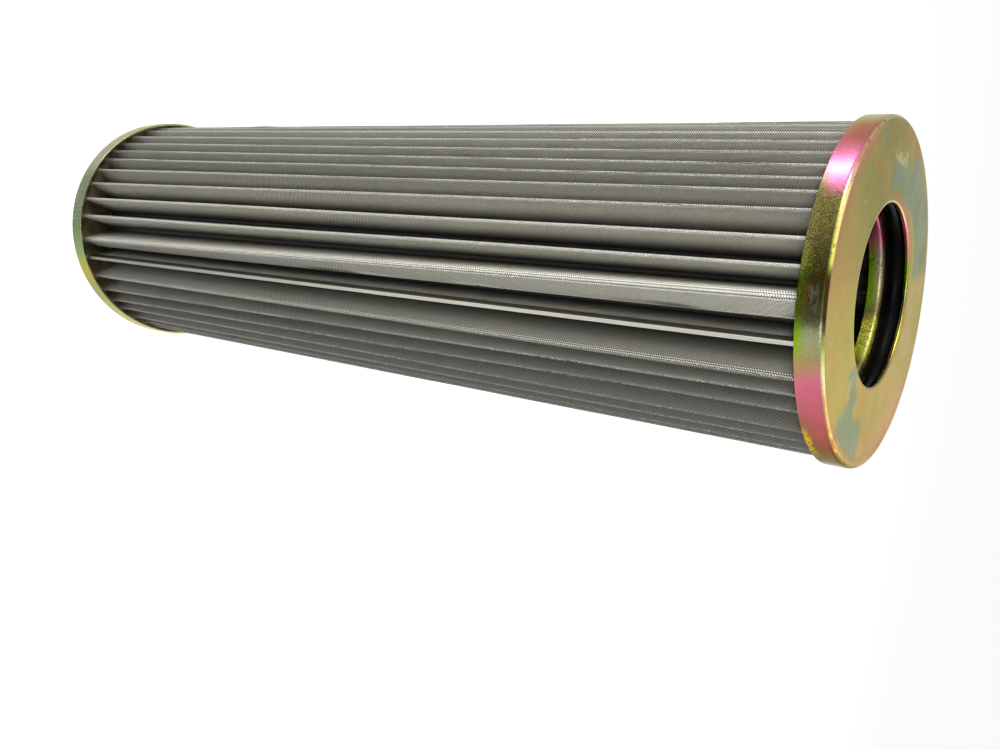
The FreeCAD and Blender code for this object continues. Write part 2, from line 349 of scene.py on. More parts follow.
class Patterns:
    """The shader groups that several finishes share."""

    def __init__(self) -> None:
        """Build each group once."""
        self.round_axis = self._round_axis()
        self.weave = self._weave()
        self.grain = self._grain()
        self.scratches = self._scratches()

    def _start(self, name: str, takes: Takes, *gives: str) -> GroupBoard:
        """Start a shader group whose outputs are all plain values."""
        return GroupBoard("Shader", name, takes, dict.fromkeys(gives, "Float"))

    def _round_axis(self) -> Tree:
        """Give a point's place round the element's axis.

        Returns:
            The group. It gives the turn of 0 to 1 from -X, the radius and the height.
        """
        board = self._start("Round the axis", {"Position": ("Vector", None)}, "Turn", "Radius", "Height")
        across, deep, up = board.split(board.entry["Position"])
        angle = board.maths("ARCTAN2", deep, across)
        flat = board.join(across, deep, 0.0)
        length = board.add("ShaderNodeVectorMath", {0: flat}, operation="LENGTH").outputs["Value"]
        turn = board.maths("MULTIPLY_ADD", angle, 0.5 / math.pi, 0.5)
        return board.give(Turn=turn, Radius=length, Height=up)

    def _wire(self, board: Board, along: object, across: object, row: object, lift: float) -> Socket:
        """Wire up one way's wires, which dip under their neighbours.

        Args:
            board: the group's board.
            along: the place along the wire, in wires.
            across: the place across it, in wires.
            row: the number of the wire, which sets whether it starts over or under.
            lift: how much it rises over its neighbours.

        Returns:
            The wire's height.
        """
        crossing = board.maths("ADD", board.less(along, 0.5), row)
        wave = board.maths("COSINE", board.times(crossing, math.pi))
        section = board.maths("SINE", board.times(board.maths("FRACT", across), math.pi))
        return board.maths("MULTIPLY_ADD", wave, lift, section)

    def _weave(self) -> Tree:
        """Give a plain weave of round wires over the piece's own flat pattern.

        Returns:
            The group. It gives the height, the gaps between the wires, and where the warp lies over the weft.
        """
        takes = {"Flat": ("Vector", None), "Pitch": ("Float", 0.5 * MM)}
        board = self._start("Plain weave", takes, "Height", "Gap", "Warp")
        across, along, _ = board.split(board.entry["Flat"])
        across, along = (board.maths("DIVIDE", way, board.entry["Pitch"]) for way in (across, along))
        warp = self._wire(board, along, across, board.maths("FLOOR", across), 0.35)
        weft = self._wire(board, across, along, board.maths("FLOOR", along), -0.35)
        height = board.maths("MAXIMUM", warp, weft)
        gap = board.less(1.0, board.fade(height, 0.3, 0.95))
        over = board.fade(board.less(warp, weft), -0.15, 0.15)
        return board.give(Height=board.times(height, 0.74), Gap=gap, Warp=over)

    def _grain(self) -> Tree:
        """Give a fine speckle and the broad patches that it fades in and out of.

        Returns:
            The group.
        """
        takes = {"Position": ("Vector", None), "Speck": ("Float", 0.3 * MM)}
        board = self._start("Speckled grain", takes, "Speckle", "Patches")
        fine = board.noise(board.entry["Position"], board.entry["Speck"], 2.0)
        broad = board.noise(board.entry["Position"], 9 * MM, 4.0)
        return board.give(Speckle=board.fade(fine, 0.36, 0.68), Patches=board.fade(broad, 0.38, 0.62))

    def _scratches(self) -> Tree:
        """Give thin scratches that run two ways, thinned out by patches.

        Returns:
            The group.
        """
        takes = {"Position": ("Vector", None), "Amount": ("Float", 0.5)}
        board = self._start("Scratches", takes, "Mask")
        position = board.entry["Position"]
        marks = []
        for angle, stretch in ((0.5, (900.0, 60.0, 400.0)), (2.2, (70.0, 1100.0, 500.0))):
            turned = board.make("ShaderNodeVectorRotate", {"Vector": position, "Angle": angle})
            lines = board.noise(board.vector("MULTIPLY", turned, stretch), 1.0, 1.0)
            marks.append(board.fade(lines, 0.72, 0.78))
        kept = board.fade(board.noise(position, 6 * MM), 0.5, 0.66)
        mask = board.times(board.maths("MAXIMUM", *marks), kept)
        return board.give(Mask=board.times(mask, board.entry["Amount"]))


class Surface(Board):
    """A finish's node tree, with the shared patterns and the surface's position."""

    def __init__(self, tree: Tree, patterns: Patterns) -> None:
        """Start with the object coordinates.

        Args:
            tree: the material's tree.
            patterns: the shared shader groups.
        """
        super().__init__(tree)
        self.patterns = patterns
        self.position = self.coordinates("Object")

    def coordinates(self, kind: str) -> Socket:
        """Return the coordinates of that kind."""
        return self.add("ShaderNodeTexCoord").outputs[kind]

    def around(self, position: Socket) -> Outputs:
        """Return the turn, radius and height that a position has round the axis."""
        return self.group(self.patterns.round_axis, Position=position)

    def grain(self, speck: float = 0.3 * MM) -> Outputs:
        """Add the speckled grain and return its outputs."""
        return self.group(self.patterns.grain, Position=self.position, Speck=speck)

    def scratches(self) -> Socket:
        """Add the scratches and return where they lie."""
        return self.group(self.patterns.scratches, Position=self.position)[0]


@dataclass(frozen=True)
class Finish:
    """What every finish shares: its name and the constants of its shader."""

    name: str
    metallic: float = 0.0
    specular: float = 0.5
    coat: float = 0.0
    coat_roughness: float = 0.15
    grazing: Colour = (255, 255, 255)

    def build(self, patterns: Patterns) -> Material:
        """Make the material.

        Args:
            patterns: the shared shader groups.

        Returns:
            The material, with what the finish paints wired into its shader.
        """
        material = bpy.data.materials.new(self.name)
        material.use_nodes = True
        surface = Surface(material.node_tree, patterns)
        colour, roughness, normal = self.paint(surface)
        values = {
            "Metallic": self.metallic, "Specular IOR Level": self.specular,
            "Specular Tint": linear(self.grazing), "Coat Weight": self.coat,
            "Coat Roughness": self.coat_roughness, "Base Color": colour, "Roughness": roughness,
            "Normal": normal,
        }
        for name, value in values.items():
            surface.put(material.node_tree.nodes["Principled BSDF"], name, value)
        return material

    def paint(self, surface: Surface) -> tuple[Socket, Socket, Socket]:
        """Return the base colour, the roughness and the normal. Each finish paints its own."""
        raise NotImplementedError


@dataclass(frozen=True)
class PlatePatch:
    """A patch of tint or of painted dark reflection: its stretch round the axis and in radius or depth, with
    uneven edges.
    """

    turns: Span
    reach: Span
    colour: Colour
    strength: float = 0.8
    soft_turn: float = 5.0
    soft_reach: float = 1.2 * MM
    torn: bool = False

    def mask(self, board: Board, turn: object, across: object, tears: object) -> Socket:
        """Work out where the patch lies.

        Args:
            board: the board of the finish.
            turn: a place's turn round the axis.
            across: its radius or depth.
            tears: a torn pattern, which breaks the patch up if it is torn.

        Returns:
            The patch's mask.
        """
        round_axis = board.band(turn, tuple(map(turn_of, self.turns)), self.soft_turn / 360)
        both = board.times(round_axis, board.band(across, self.reach, self.soft_reach))
        if self.torn:
            both = board.times(both, tears)
        return board.times(both, self.strength)


@dataclass(frozen=True)
class ZincFinish(Finish):
    """Yellow-passivated zinc on a turned piece: its tints drift round the axis. At the top cap some stops are
    painted light: dark reflections on the rim and corner, and glints on the corner and in the grit.

    Insets are counted inwards from the rim or outwards from the lip, and depths from the face's plane.
    """

    metallic: float = 1.0
    grazing: Colour = (240, 234, 202)
    rim: Stops = ()
    rim_back: Stops = ()
    face: Stops = ()
    # the corner's colours: at the top cap, painted glints with a painted dark reflection between them
    edge: Stops = ()
    lip: Stops = ()
    face_stains: tuple[PlatePatch, ...] = ()
    rim_stains: tuple[PlatePatch, ...] = ()
    edge_stains_and_dark_reflection: tuple[PlatePatch, ...] = ()
    hues: Stops = ((0.36, (206, 150, 108)), (0.5, Zinc.GOLD), (0.64, (158, 170, 98)))
    grit_and_glints: Span = (-136, -98)
    grit_dark: Colour = (44, 34, 14)
    rim_radius: float = 0.0
    lip_radius: float = 0.0
    face_height: float = 0.0
    inward: float = 1.0
    drift: float = 7 * MM
    back_depth: Span = (3.2 * MM, 5.9 * MM)
    rim_inset: Span = (0.45 * MM, 0.1 * MM)
    lip_inset: Span = (0.7 * MM, 0.35 * MM)
    corner_inset: Span = (0.75 * MM, 0.2 * MM)
    corner_depth: Span = (0.8 * MM, 1.1 * MM)

    def patched(self, surface: Surface, colour: object, overlays: tuple[PlatePatch, ...], turn: object,
                across: object) -> Socket:
        """Lay patches over a colour: tints, and on the top cap's corner a painted dark reflection.

        Args:
            surface: the finish's surface.
            colour: the colour under the patches.
            overlays: the patches.
            turn: a place's turn round the axis.
            across: its radius or depth.

        Returns:
            The colour with the patches laid over it.
        """
        drawn = surface.vector("MULTIPLY", surface.position, (1.0, 1.0, 2.5))
        tears = surface.fade(surface.noise(drawn, 1.6 * MM, 5.0, 0.65), 0.4, 0.56)
        for overlay in overlays:
            colour = surface.blend(overlay.mask(surface, turn, across, tears), colour, linear(overlay.colour))
        return colour

    def rim_colour(self, surface: Surface, turn: object, depth: object) -> Socket:
        """Paint the rim, which changes from the face's side to the back, with grit of dark grains and painted
        glints in one stretch.

        Args:
            surface: the finish's surface.
            turn: a place's turn round the axis.
            depth: its distance from the face's plane.

        Returns:
            The rim's colour.
        """
        tints = (surface.ramp(turn, stops) for stops in (self.rim, self.rim_back))
        colour = surface.blend(surface.fade(depth, *self.back_depth), *tints)
        gritty = surface.band(turn, tuple(map(turn_of, self.grit_and_glints)), 0.02)
        grains = surface.noise(surface.position, 0.3 * MM, 3.0, 0.7)
        dark = surface.blend(0.85, colour, linear(self.grit_dark))
        # Painted highlight: glints on the grit's high grains.
        glint = surface.blend(0.35, colour, linear(Zinc.LEMON))
        rough = surface.blend(surface.fade(grains, 0.44, 0.56), dark, colour)
        rough = surface.blend(surface.fade(grains, 0.6, 0.7), rough, glint)
        colour = surface.blend(surface.scale(gritty, 0.08, 0.85), colour, rough)
        return self.patched(surface, colour, self.rim_stains, turn, depth)

    def paint(self, surface: Surface) -> tuple[Socket, Socket, Socket]:
        """Paint the plate: its face, rim, the painted glints and painted dark reflection along its corner,
        and its lip, then scratches and clouds over all.

        Args:
            surface: the finish's surface.

        Returns:
            The base colour, the roughness and the normal.
        """
        position = surface.position
        lie = surface.around(position)
        uneven = surface.noise(position, self.drift, 4.0).node.outputs["Color"]
        shift = surface.vector("SUBTRACT", uneven, (0.5, 0.5, 0.5))
        shift = surface.vector("MULTIPLY", shift, (self.drift, self.drift, 0.0))
        warped = surface.around(surface.vector("ADD", position, shift))
        turn, radius = warped["Turn"], lie["Radius"]
        depth = surface.times(surface.less(lie["Height"], self.face_height), self.inward)
        hue = surface.ramp(surface.noise(position, 14 * MM), self.hues)
        face = surface.blend(0.3, surface.ramp(turn, self.face), hue)
        face = self.patched(surface, face, self.face_stains, turn, warped["Radius"])
        on_rim = surface.fade(radius, *(self.rim_radius - inset for inset in self.rim_inset))
        colour = surface.blend(on_rim, face, self.rim_colour(surface, turn, depth))
        # Painted highlight and painted dark reflection: the corner's ramp of glints, broken up by noise.
        edges = tuple(self.rim_radius - inset for inset in self.corner_inset)
        near_face = surface.less(1.0, surface.fade(depth, *self.corner_depth))
        corner = surface.times(surface.band(radius, edges, 0.14 * MM), near_face)
        glint_breaks = surface.fade(surface.noise(position, 2.4 * MM, 5.0, 0.7), 0.34, 0.48)
        colour = surface.blend(surface.times(corner, glint_breaks), colour, surface.ramp(turn, self.edge))
        colour = self.patched(surface, colour, self.edge_stains_and_dark_reflection, turn, radius)
        on_lip = surface.fade(radius, *(self.lip_radius + inset for inset in self.lip_inset))
        colour = surface.blend(on_lip, colour, surface.ramp(turn, self.lip))
        colour = surface.blend(surface.scratches(), colour, linear(Zinc.CREAM))
        colour = surface.shade(colour, surface.scale(surface.noise(position, 5 * MM, 5.0), 0.82, 1.08))
        grain = surface.grain()
        pits = surface.bump(grain["Speckle"], 0.03 * MM, 0.3)
        normal = surface.bump(surface.noise(position, self.drift), 0.12 * MM, 0.35, pits)
        return colour, surface.scale(grain["Patches"], 0.2, 0.3), normal


@dataclass(frozen=True)
class CollarFinish(Finish):
    """The same plate on the seal housing's walls: passivation pools green and rose, and a yellow spot is
    painted highlight.
    """

    metallic: float = 0.3
    grazing: Colour = (240, 234, 202)
    by_ring: Stops = ()
    by_end: Stops = ()
    ring_height: float = 0.0
    end_height: float = 0.0

    def paint(self, surface: Surface) -> tuple[Socket, Socket, Socket]:
        """Paint the wall, from its tints beside the O-ring to those at the collar's end, with the painted
        highlight in both.

        Args:
            surface: the finish's surface.

        Returns:
            The base colour, the roughness and the normal.
        """
        lie = surface.around(surface.position)
        drift = surface.scale(surface.noise(surface.position, 8 * MM, 4.0), -0.02, 0.02)
        turn = surface.maths("ADD", lie["Turn"], drift)
        limits = {"Value": lie["Height"], "From Min": self.ring_height, "From Max": self.end_height}
        inward = surface.fade(surface.make("ShaderNodeMapRange", limits), 0.15, 0.75)
        colour = surface.blend(inward, surface.ramp(turn, self.by_ring), surface.ramp(turn, self.by_end))
        grain = surface.grain(0.5 * MM)
        freckles = surface.times(grain["Speckle"], surface.scale(grain["Patches"], 0.0, 0.7))
        colour = surface.blend(freckles, colour, linear(Zinc.UMBER))
        normal = surface.bump(surface.noise(surface.position, 3 * MM), 0.1 * MM, 0.4)
        return colour, surface.scale(grain["Patches"], 0.2, 0.32), normal


@dataclass(frozen=True)
class ClothFinish(Finish):
    """Woven stainless wire, with painted glints where it turns over a crest and painted shade that darkens it
    towards the valleys. Its weave's relief is also shaded in the colour as painted light.

    Each side shade is painted shade that deepens along X, from one place to another,
    down to the share of light it leaves.
    """

    metallic: float = 0.1
    specular: float = 0.35
    pitch: float = 0.29 * MM
    crest: Colour = (206, 204, 194)
    flank: Colour = (218, 216, 202)
    # painted shade: the colour that the cloth darkens to at the pleats' roots
    valley_shade: Colour = (44, 42, 36)
    # painted highlight: the colour of the glints on the crests
    painted_glint: Colour = (252, 251, 244)
    # painted shade in the gaps between the wires
    gap: Colour = (20, 20, 18)
    crest_radius: float = 0.0
    root_radius: float = 0.0
    crest_inset: Span = (0.2 * MM, 0.02 * MM)
    flank_share: float = 0.78
    # painted shade: the cloth darker towards +X and towards -X
    painted_side_shades: tuple[tuple[float, float, float], ...] = ((-10 * MM, 20 * MM, 0.38), (-17 * MM, -30 * MM, 0.58))

    def paint(self, surface: Surface) -> tuple[Socket, Socket, Socket]:
        """Paint the wires.

        Args:
            surface: the finish's surface.

        Returns:
            The base colour, the roughness and the normal.
        """
        position = surface.position
        radius = surface.around(position)["Radius"]
        flat = surface.coordinates("UV")
        woven = surface.group(surface.patterns.weave, Flat=flat, Pitch=self.pitch)
        # Painted shade: the flank's colour darkens towards the valley colour at the roots.
        high = self.root_radius + self.flank_share * (self.crest_radius - self.root_radius)
        raised = surface.fade(radius, self.root_radius, high)
        colour = surface.blend(raised, linear(self.valley_shade), linear(self.flank))
        at_crest = surface.fade(radius, *(self.crest_radius - inset for inset in self.crest_inset))
        colour = surface.blend(at_crest, colour, linear(self.crest))
        light = surface.scale(surface.noise(position, 3 * MM, 5.0, 0.6), 0.88, 1.12)
        # Painted light: the weave's knuckles lit, its hollows shaded, the warp's knuckles brighter than the
        # weft's.
        light = surface.times(light, surface.scale(woven["Height"], 0.4, 1.45))
        light = surface.times(light, surface.scale(woven["Warp"], 0.32, 1.6))
        # Painted shade, darker towards +X and towards -X.
        for thin, thick, left in self.painted_side_shades:
            side_shade = surface.fade(surface.split(position)[0], thin, thick)
            light = surface.times(light, surface.scale(side_shade, 1.0, left))
        colour = surface.shade(colour, light)
        # Painted highlight: glints scattered along the crests.
        glint_spots = surface.fade(surface.noise(position, 0.3 * MM, 2.0), 0.52, 0.64)
        colour = surface.blend(surface.times(glint_spots, at_crest), colour, linear(self.painted_glint))
        # Painted shade in the weave's gaps.
        colour = surface.blend(surface.times(woven["Gap"], 0.8), colour, linear(self.gap))
        normal = surface.bump(woven["Height"], 0.14 * MM, 0.6)
        return colour, surface.scale(at_crest, 0.5, 0.26), normal


@dataclass(frozen=True)
class StripFinish(Finish):
    """The bright drawn metal of the side seam, with fine lines along it, and painted shade towards the
    bottom.
    """

    metallic: float = 0.85
    tint: Colour = (196, 194, 180)
    speck: Colour = (52, 48, 38)
    # painted shade: the metal darkens below this height
    unshaded_from: float = 0.2

    def paint(self, surface: Surface) -> tuple[Socket, Socket, Socket]:
        """Paint the metal.

        Args:
            surface: the finish's surface.

        Returns:
            The base colour, the roughness and the normal.
        """
        drawn = surface.vector("MULTIPLY", surface.position, (9000.0, 9000.0, 120.0))
        lines = surface.noise(drawn, 1.0, 2.0)
        height = surface.around(surface.position)["Height"]
        # Painted shade: half as bright at the bottom end, full from the given height up.
        painted_shade = surface.scale(surface.fade(height, 0.0, self.unshaded_from), 0.5, 1.0)
        colour = surface.shade(linear(self.tint), surface.times(surface.scale(lines, 0.72, 1.18), painted_shade))
        specks = surface.fade(surface.noise(surface.position, 1.2 * MM, 4.0, 0.7), 0.7, 0.76)
        colour = surface.blend(specks, colour, linear(self.speck))
        return colour, surface.scale(lines, 0.2, 0.42), surface.bump(lines, 0.03 * MM, 0.4)


@dataclass(frozen=True)
class RubberFinish(Finish):
    """Black nitrile rubber with an oily sheen and a little dust."""

    specular: float = 0.03
    tint: Colour = (6, 6, 7)
    dust: Colour = (96, 92, 84)

    def paint(self, surface: Surface) -> tuple[Socket, Socket, Socket]:
        """Paint the rubber.

        Args:
            surface: the finish's surface.

        Returns:
            The base colour, the roughness and the normal.
        """
        grain = surface.grain(0.2 * MM)
        dusty = surface.times(grain["Patches"], 0.03)
        colour = surface.blend(dusty, linear(self.tint), linear(self.dust))
        roughness = surface.scale(grain["Patches"], 0.2, 0.32)
        return colour, roughness, surface.bump(grain["Speckle"], 0.02 * MM, 0.2)


@dataclass(frozen=True)
class EpoxyFinish(Finish):
    """Cured potting epoxy, dark olive-brown, with small bubbles."""

    coat: float = 0.4
    tint: Colour = (84, 78, 50)
    deep: Colour = (38, 34, 22)

    def paint(self, surface: Surface) -> tuple[Socket, Socket, Socket]:
        """Paint the epoxy.

        Args:
            surface: the finish's surface.

        Returns:
            The base colour, the roughness and the normal.
        """
        position = surface.position
        cloud = surface.fade(surface.noise(position, 6 * MM, 5.0, 0.6), 0.36, 0.66)
        cells = surface.make("ShaderNodeTexVoronoi", {"Vector": position, "Scale": 1 / (1.4 * MM)})
        bubbles = surface.less(1.0, surface.fade(cells, 0.1, 0.2))
        colour = surface.blend(cloud, linear(self.deep), linear(self.tint))
        colour = surface.blend(surface.times(bubbles, 0.5), colour, linear(self.deep))
        return colour, surface.scale(cloud, 0.28, 0.5), surface.bump(bubbles, -0.1 * MM, 0.5)


@dataclass(frozen=True)
class CoreFinish(Finish):
    """The tin-plated steel of the core tube, painted dark in patches as painted shade, so the bore's inside
    renders black.
    """

    metallic: float = 1.0
    # painted shade: both colours are dark so that the inside of the bore renders black
    tint: Colour = (84, 82, 76)
    deep_shade: Colour = (34, 33, 30)
    scratch: Colour = (176, 174, 166)

    def paint(self, surface: Surface) -> tuple[Socket, Socket, Socket]:
        """Paint the steel.

        Args:
            surface: the finish's surface.

        Returns:
            The base colour, the roughness and the normal.
        """
        grain = surface.grain()
        # Painted shade in patches.
        colour = surface.blend(grain["Patches"], linear(self.deep_shade), linear(self.tint))
        colour = surface.blend(surface.scratches(), colour, linear(self.scratch))
        roughness = surface.scale(grain["Patches"], 0.36, 0.52)
        return colour, roughness, surface.bump(grain["Speckle"], 0.02 * MM, 0.2)


def link(name: str, data: bpy.types.ID) -> Object:
    """Put data into the scene.

    Args:
        name: the object's name.
        data: a mesh, curve, light or camera.

    Returns:
        The object.
    """
    made = bpy.data.objects.new(name, data)
    bpy.context.scene.collection.objects.link(made)
    return made


def seat(piece: Object, slot: Slot, *nodes: str) -> None:
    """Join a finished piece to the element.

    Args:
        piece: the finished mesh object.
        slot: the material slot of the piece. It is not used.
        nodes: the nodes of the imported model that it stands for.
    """
    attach(piece, "root")
    if nodes:
        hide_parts(*nodes)
    piece.data.calc_loop_triangles()
    count = len(piece.data.loop_triangles)
    LOG.info("%s: %d triangles, stands for %s", piece.name, count, nodes or "nothing")


def run_tree(host: Object, tree: Tree, values: dict[str, object]) -> None:
    """Give an object a geometry tree as a modifier.

    Args:
        host: the object.
        tree: the tree.
        values: a value for each of the tree's inputs that isn't left at its default, by name.
    """
    modifier = host.modifiers.new(tree.name, "NODES")
    modifier.node_group = tree
    for item in tree.interface.items_tree:
        if item.item_type == "SOCKET" and item.in_out == "INPUT" and item.name in values:
            modifier[item.identifier] = values[item.name]


def settle(host: Object, name: str) -> Object:
    """Turn an object and its modifiers into a plain mesh object, and remove the host.

    Args:
        host: the object with its modifiers.
        name: the name of the new object.

    Returns:
        The new object.
    """
    graph = bpy.context.evaluated_depsgraph_get()
    mesh = bpy.data.meshes.new_from_object(host.evaluated_get(graph), depsgraph=graph)
    mesh.name = name
    bpy.data.objects.remove(host)
    return link(name, mesh)


def face_outwards(mesh: bpy.types.Mesh) -> None:
    """Make every face of a closed mesh point outwards.

    Args:
        mesh: the mesh.
    """
    work = bmesh.new()
    work.from_mesh(mesh)
    bmesh.ops.recalc_face_normals(work, faces=work.faces)
    work.to_mesh(mesh)
    work.free()


def skin(name: str, rings: np.ndarray, closed: bool, sharp: float) -> Object:
    """Cover rings of points with faces.

    Args:
        name: the object's name.
        rings: the points, by ring and by place in the ring.
        closed: whether the last ring joins the first. If not, the first and last are capped.
        sharp: the angle in degrees from which an edge stays sharp.

    Returns:
        The mesh object.
    """
    rows, count, _ = rings.shape
    faces = []
    if not closed:
        faces = [tuple(reversed(range(count))), tuple((rows - 1) * count + n for n in range(count))]
    for row in range(rows if closed else rows - 1):
        here, there = row * count, (row + 1) % rows * count
        for number in range(count):
            following = (number + 1) % count
            faces.append((here + number, there + number, there + following, here + following))
    mesh = bpy.data.meshes.new(name)
    mesh.from_pydata(rings.reshape(-1, 3).tolist(), [], faces)
    face_outwards(mesh)
    mesh.shade_smooth()
    mesh.set_sharp_from_angle(angle=math.radians(sharp))
    return link(name, mesh)


def draw_lines(name: str, lines: list[tuple[np.ndarray, np.ndarray]]) -> Object:
    """Draw lines as one curve object.

    Args:
        name: the object's name.
        lines: each line's points, and the radius at each.

    Returns:
        The curve object.
    """
    curve = bpy.data.curves.new(name, "CURVE")
    curve.dimensions = "3D"
    for points, radii in lines:
        spline = curve.splines.new("POLY")
        spline.points.add(len(points) - 1)
        spline.points.foreach_set("co", np.column_stack([points, np.ones(len(points))]).ravel())
        spline.points.foreach_set("radius", radii)
    return link(name, curve)


@dataclass(frozen=True)
class Corner:
    """A corner of a turned piece's section, with the radius of its bend."""

    radius: float
    height: float
    bend: float = 0.0
    steps: int = 6
    support: float = 0.25 * MM
    support_share: float = 0.3

    def place(self) -> Vector:
        """Return the corner as a point."""
        return Vector((self.radius, self.height))

    def rounded(self, before: Vector, after: Vector) -> list[Vector]:
        """Round the corner, with a support point on each side of the arc.

        Args:
            before: the section's corner before this one.
            after: the corner after it.

        Returns:
            The points of the arc, or the corner alone if it has no bend.
        """
        corner = self.place()
        if self.bend == 0:
            return [corner]
        to_before = (before - corner).normalized()
        to_after = (after - corner).normalized()
        half = to_before.angle(to_after) / 2
        reach = self.bend / math.tan(half)
        support = reach + min(self.support, self.support_share * self.bend)
        centre = corner + (to_before + to_after).normalized() * (self.bend / math.sin(half))
        first = corner + to_before * reach - centre
        turn = first.angle_signed(corner + to_after * reach - centre)
        steps = (Matrix.Rotation(-turn * step / self.steps, 2) for step in range(self.steps + 1))
        arc = [centre + step @ first for step in steps]
        return [corner + to_before * support, *arc, corner + to_after * support]


def section_line(corners: list[Corner]) -> list[Vector]:
    """Draw a closed section with its corners rounded.

    Args:
        corners: the section's corners in order.

    Returns:
        The points of the section.
    """
    line = []
    for number, corner in enumerate(corners):
        following = corners[(number + 1) % len(corners)]
        line.extend(corner.rounded(corners[number - 1].place(), following.place()))
    return line


def frame_bore_radius() -> float:
    """Return the bore's radius, which is the smallest that any point of the bottom cap has."""
    return min(math.hypot(v.co.x, v.co.y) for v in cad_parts["bottom_end_cap"].data.vertices)


@dataclass(frozen=True)
class Sizes:
    """The element's sizes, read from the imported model."""

    length: float
    cap_radius: float
    bore_radius: float
    rim_height: float
    housing_radius: float
    collar_end: float
    core_radius: float
    seal_section: float
    seal_low: float
    seal_inner: float
    potting_top: float
    crest_radius: float
    cap_sheet: float = 0.9 * MM
    rim_round: float = 1.2 * MM
    lip_round: float = 0.4 * MM
    housing_sheet: float = 0.8 * MM
    root_gap: float = 0.63 * MM

    @property
    def groove_end(self) -> float:
        """The far side of the seal's groove: the ring has as much play there as at the cap."""
        return self.seal_low + self.seal_section + self.seal_low - self.cap_sheet

    @property
    def root_radius(self) -> float:
        """The radius at which the pleats turn back outwards."""
        return self.core_radius + self.root_gap

    @classmethod
    def from_frame(cls) -> "Sizes":
        """Read the sizes from the nodes' boxes.

        Returns:
            The sizes.
        """
        cap_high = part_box("bottom_end_cap")[1]
        housing_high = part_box("bottom_seal_housing")[1]
        ring_low, ring_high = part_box("bottom_o_ring")
        section = ring_high.z - ring_low.z
        return cls(
            length=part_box("top_end_cap")[1].z,
            cap_radius=cap_high.x,
            bore_radius=frame_bore_radius(),
            rim_height=cap_high.z,
            housing_radius=housing_high.x,
            collar_end=housing_high.z,
            core_radius=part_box("core_tube")[1].x,
            seal_section=section,
            seal_low=ring_low.z,
            seal_inner=ring_high.x - section,
            potting_top=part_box("bottom_potting")[1].z,
            crest_radius=-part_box("seam_clip")[0].y,
        )


# Rim tints with painted dark reflections: olive to dark olive from -133 to -97 degrees, dark browns from -46
# to -8.
TOP_RIM_WITH_DARK_REFLECTIONS = round_stops(
    (-178, Zinc.SAGE), (-168, Zinc.SALMON), (-158, Zinc.SALMON), (-150, Zinc.PINK), (-139, Zinc.PINK),
    (-133, Zinc.OLIVE), (-118, Zinc.DARK_OLIVE), (-106, Zinc.DARK_OLIVE), (-97, Zinc.SAGE),
    (-88, Zinc.STRAW), (-79, Zinc.ROSE), (-60, (182, 92, 92)), (-46, (96, 46, 26)), (-34, (64, 32, 10)),
    (-8, (80, 48, 16)), (24, Zinc.STRAW), (60, Zinc.ROSE), (95, Zinc.GOLD), (130, Zinc.PALE_SAGE),
    (178, Zinc.SAGE))
# Rim tints towards the back, with a painted dark reflection in the dark browns from -40 to 4 degrees.
TOP_RIM_BACK_WITH_DARK_REFLECTIONS = round_stops(
    (-178, Zinc.SAGE), (-160, Zinc.SALMON), (-148, Zinc.PINK), (-138, Zinc.OLIVE), (-120, Zinc.OLIVE),
    (-108, Zinc.LIME), (-92, Zinc.LIME), (-78, Zinc.ROSE), (-58, (140, 100, 66)), (-40, Zinc.UMBER),
    (4, (88, 62, 28)), (30, Zinc.STRAW), (80, Zinc.LIME), (130, Zinc.GOLD), (178, Zinc.SAGE))
TOP_FACE = round_stops(
    (-178, (94, 78, 42)), (-150, (106, 90, 48)), (-120, (150, 136, 76)), (-95, (184, 166, 92)),
    (-68, (198, 178, 98)), (-20, (186, 160, 88)), (20, Zinc.GOLD), (60, Zinc.STRAW), (95, Zinc.STRAW),
    (150, (108, 94, 52)), (178, (94, 78, 42)))
# Corner colours: painted glints, bright yellow from -134 to -116 degrees and pale green from -90 to -82, with
# a painted dark reflection in olive between them.
TOP_EDGE_WITH_PAINTED_GLINTS = round_stops(
    (-178, Zinc.SAGE), (-150, (196, 150, 120)), (-134, (255, 253, 160)), (-116, (252, 252, 110)),
    (-110, Zinc.OLIVE), (-96, Zinc.DARK_OLIVE), (-90, (196, 224, 120)), (-82, (236, 244, 190)),
    (-72, (188, 160, 96)), (-56, (146, 96, 56)), (-36, (84, 60, 26)), (0, Zinc.BRONZE), (60, Zinc.GOLD),
    (178, Zinc.SAGE))
TOP_LIP = round_stops(
    (-178, (216, 208, 188)), (-110, (218, 208, 172)), (-70, Zinc.PALE_GOLD), (-30, Zinc.BRONZE),
    (20, (140, 112, 82)), (48, (196, 186, 62)), (68, Zinc.OLIVE), (92, Zinc.LIME), (118, Zinc.ROSE),
    (150, (222, 176, 150)), (178, (216, 208, 188)))
BOTTOM_RIM = round_stops(
    (-178, Zinc.SAGE), (-142, (154, 156, 144)), (-122, (132, 150, 134)), (-104, (122, 150, 120)),
    (-92, (138, 158, 108)), (-84, (176, 170, 88)), (-77, (170, 164, 92)), (-69, (148, 164, 114)),
    (-56, (184, 186, 132)), (-36, (208, 208, 160)), (-12, Zinc.SAGE), (20, Zinc.ROSE), (70, Zinc.STRAW),
    (120, Zinc.SAGE), (178, Zinc.SAGE))
BOTTOM_FACE = round_stops(
    (-178, Zinc.STRAW), (-110, Zinc.GOLD), (-50, Zinc.PALE_GOLD), (10, Zinc.BRONZE), (70, Zinc.GOLD),
    (130, Zinc.SAGE), (178, Zinc.STRAW))
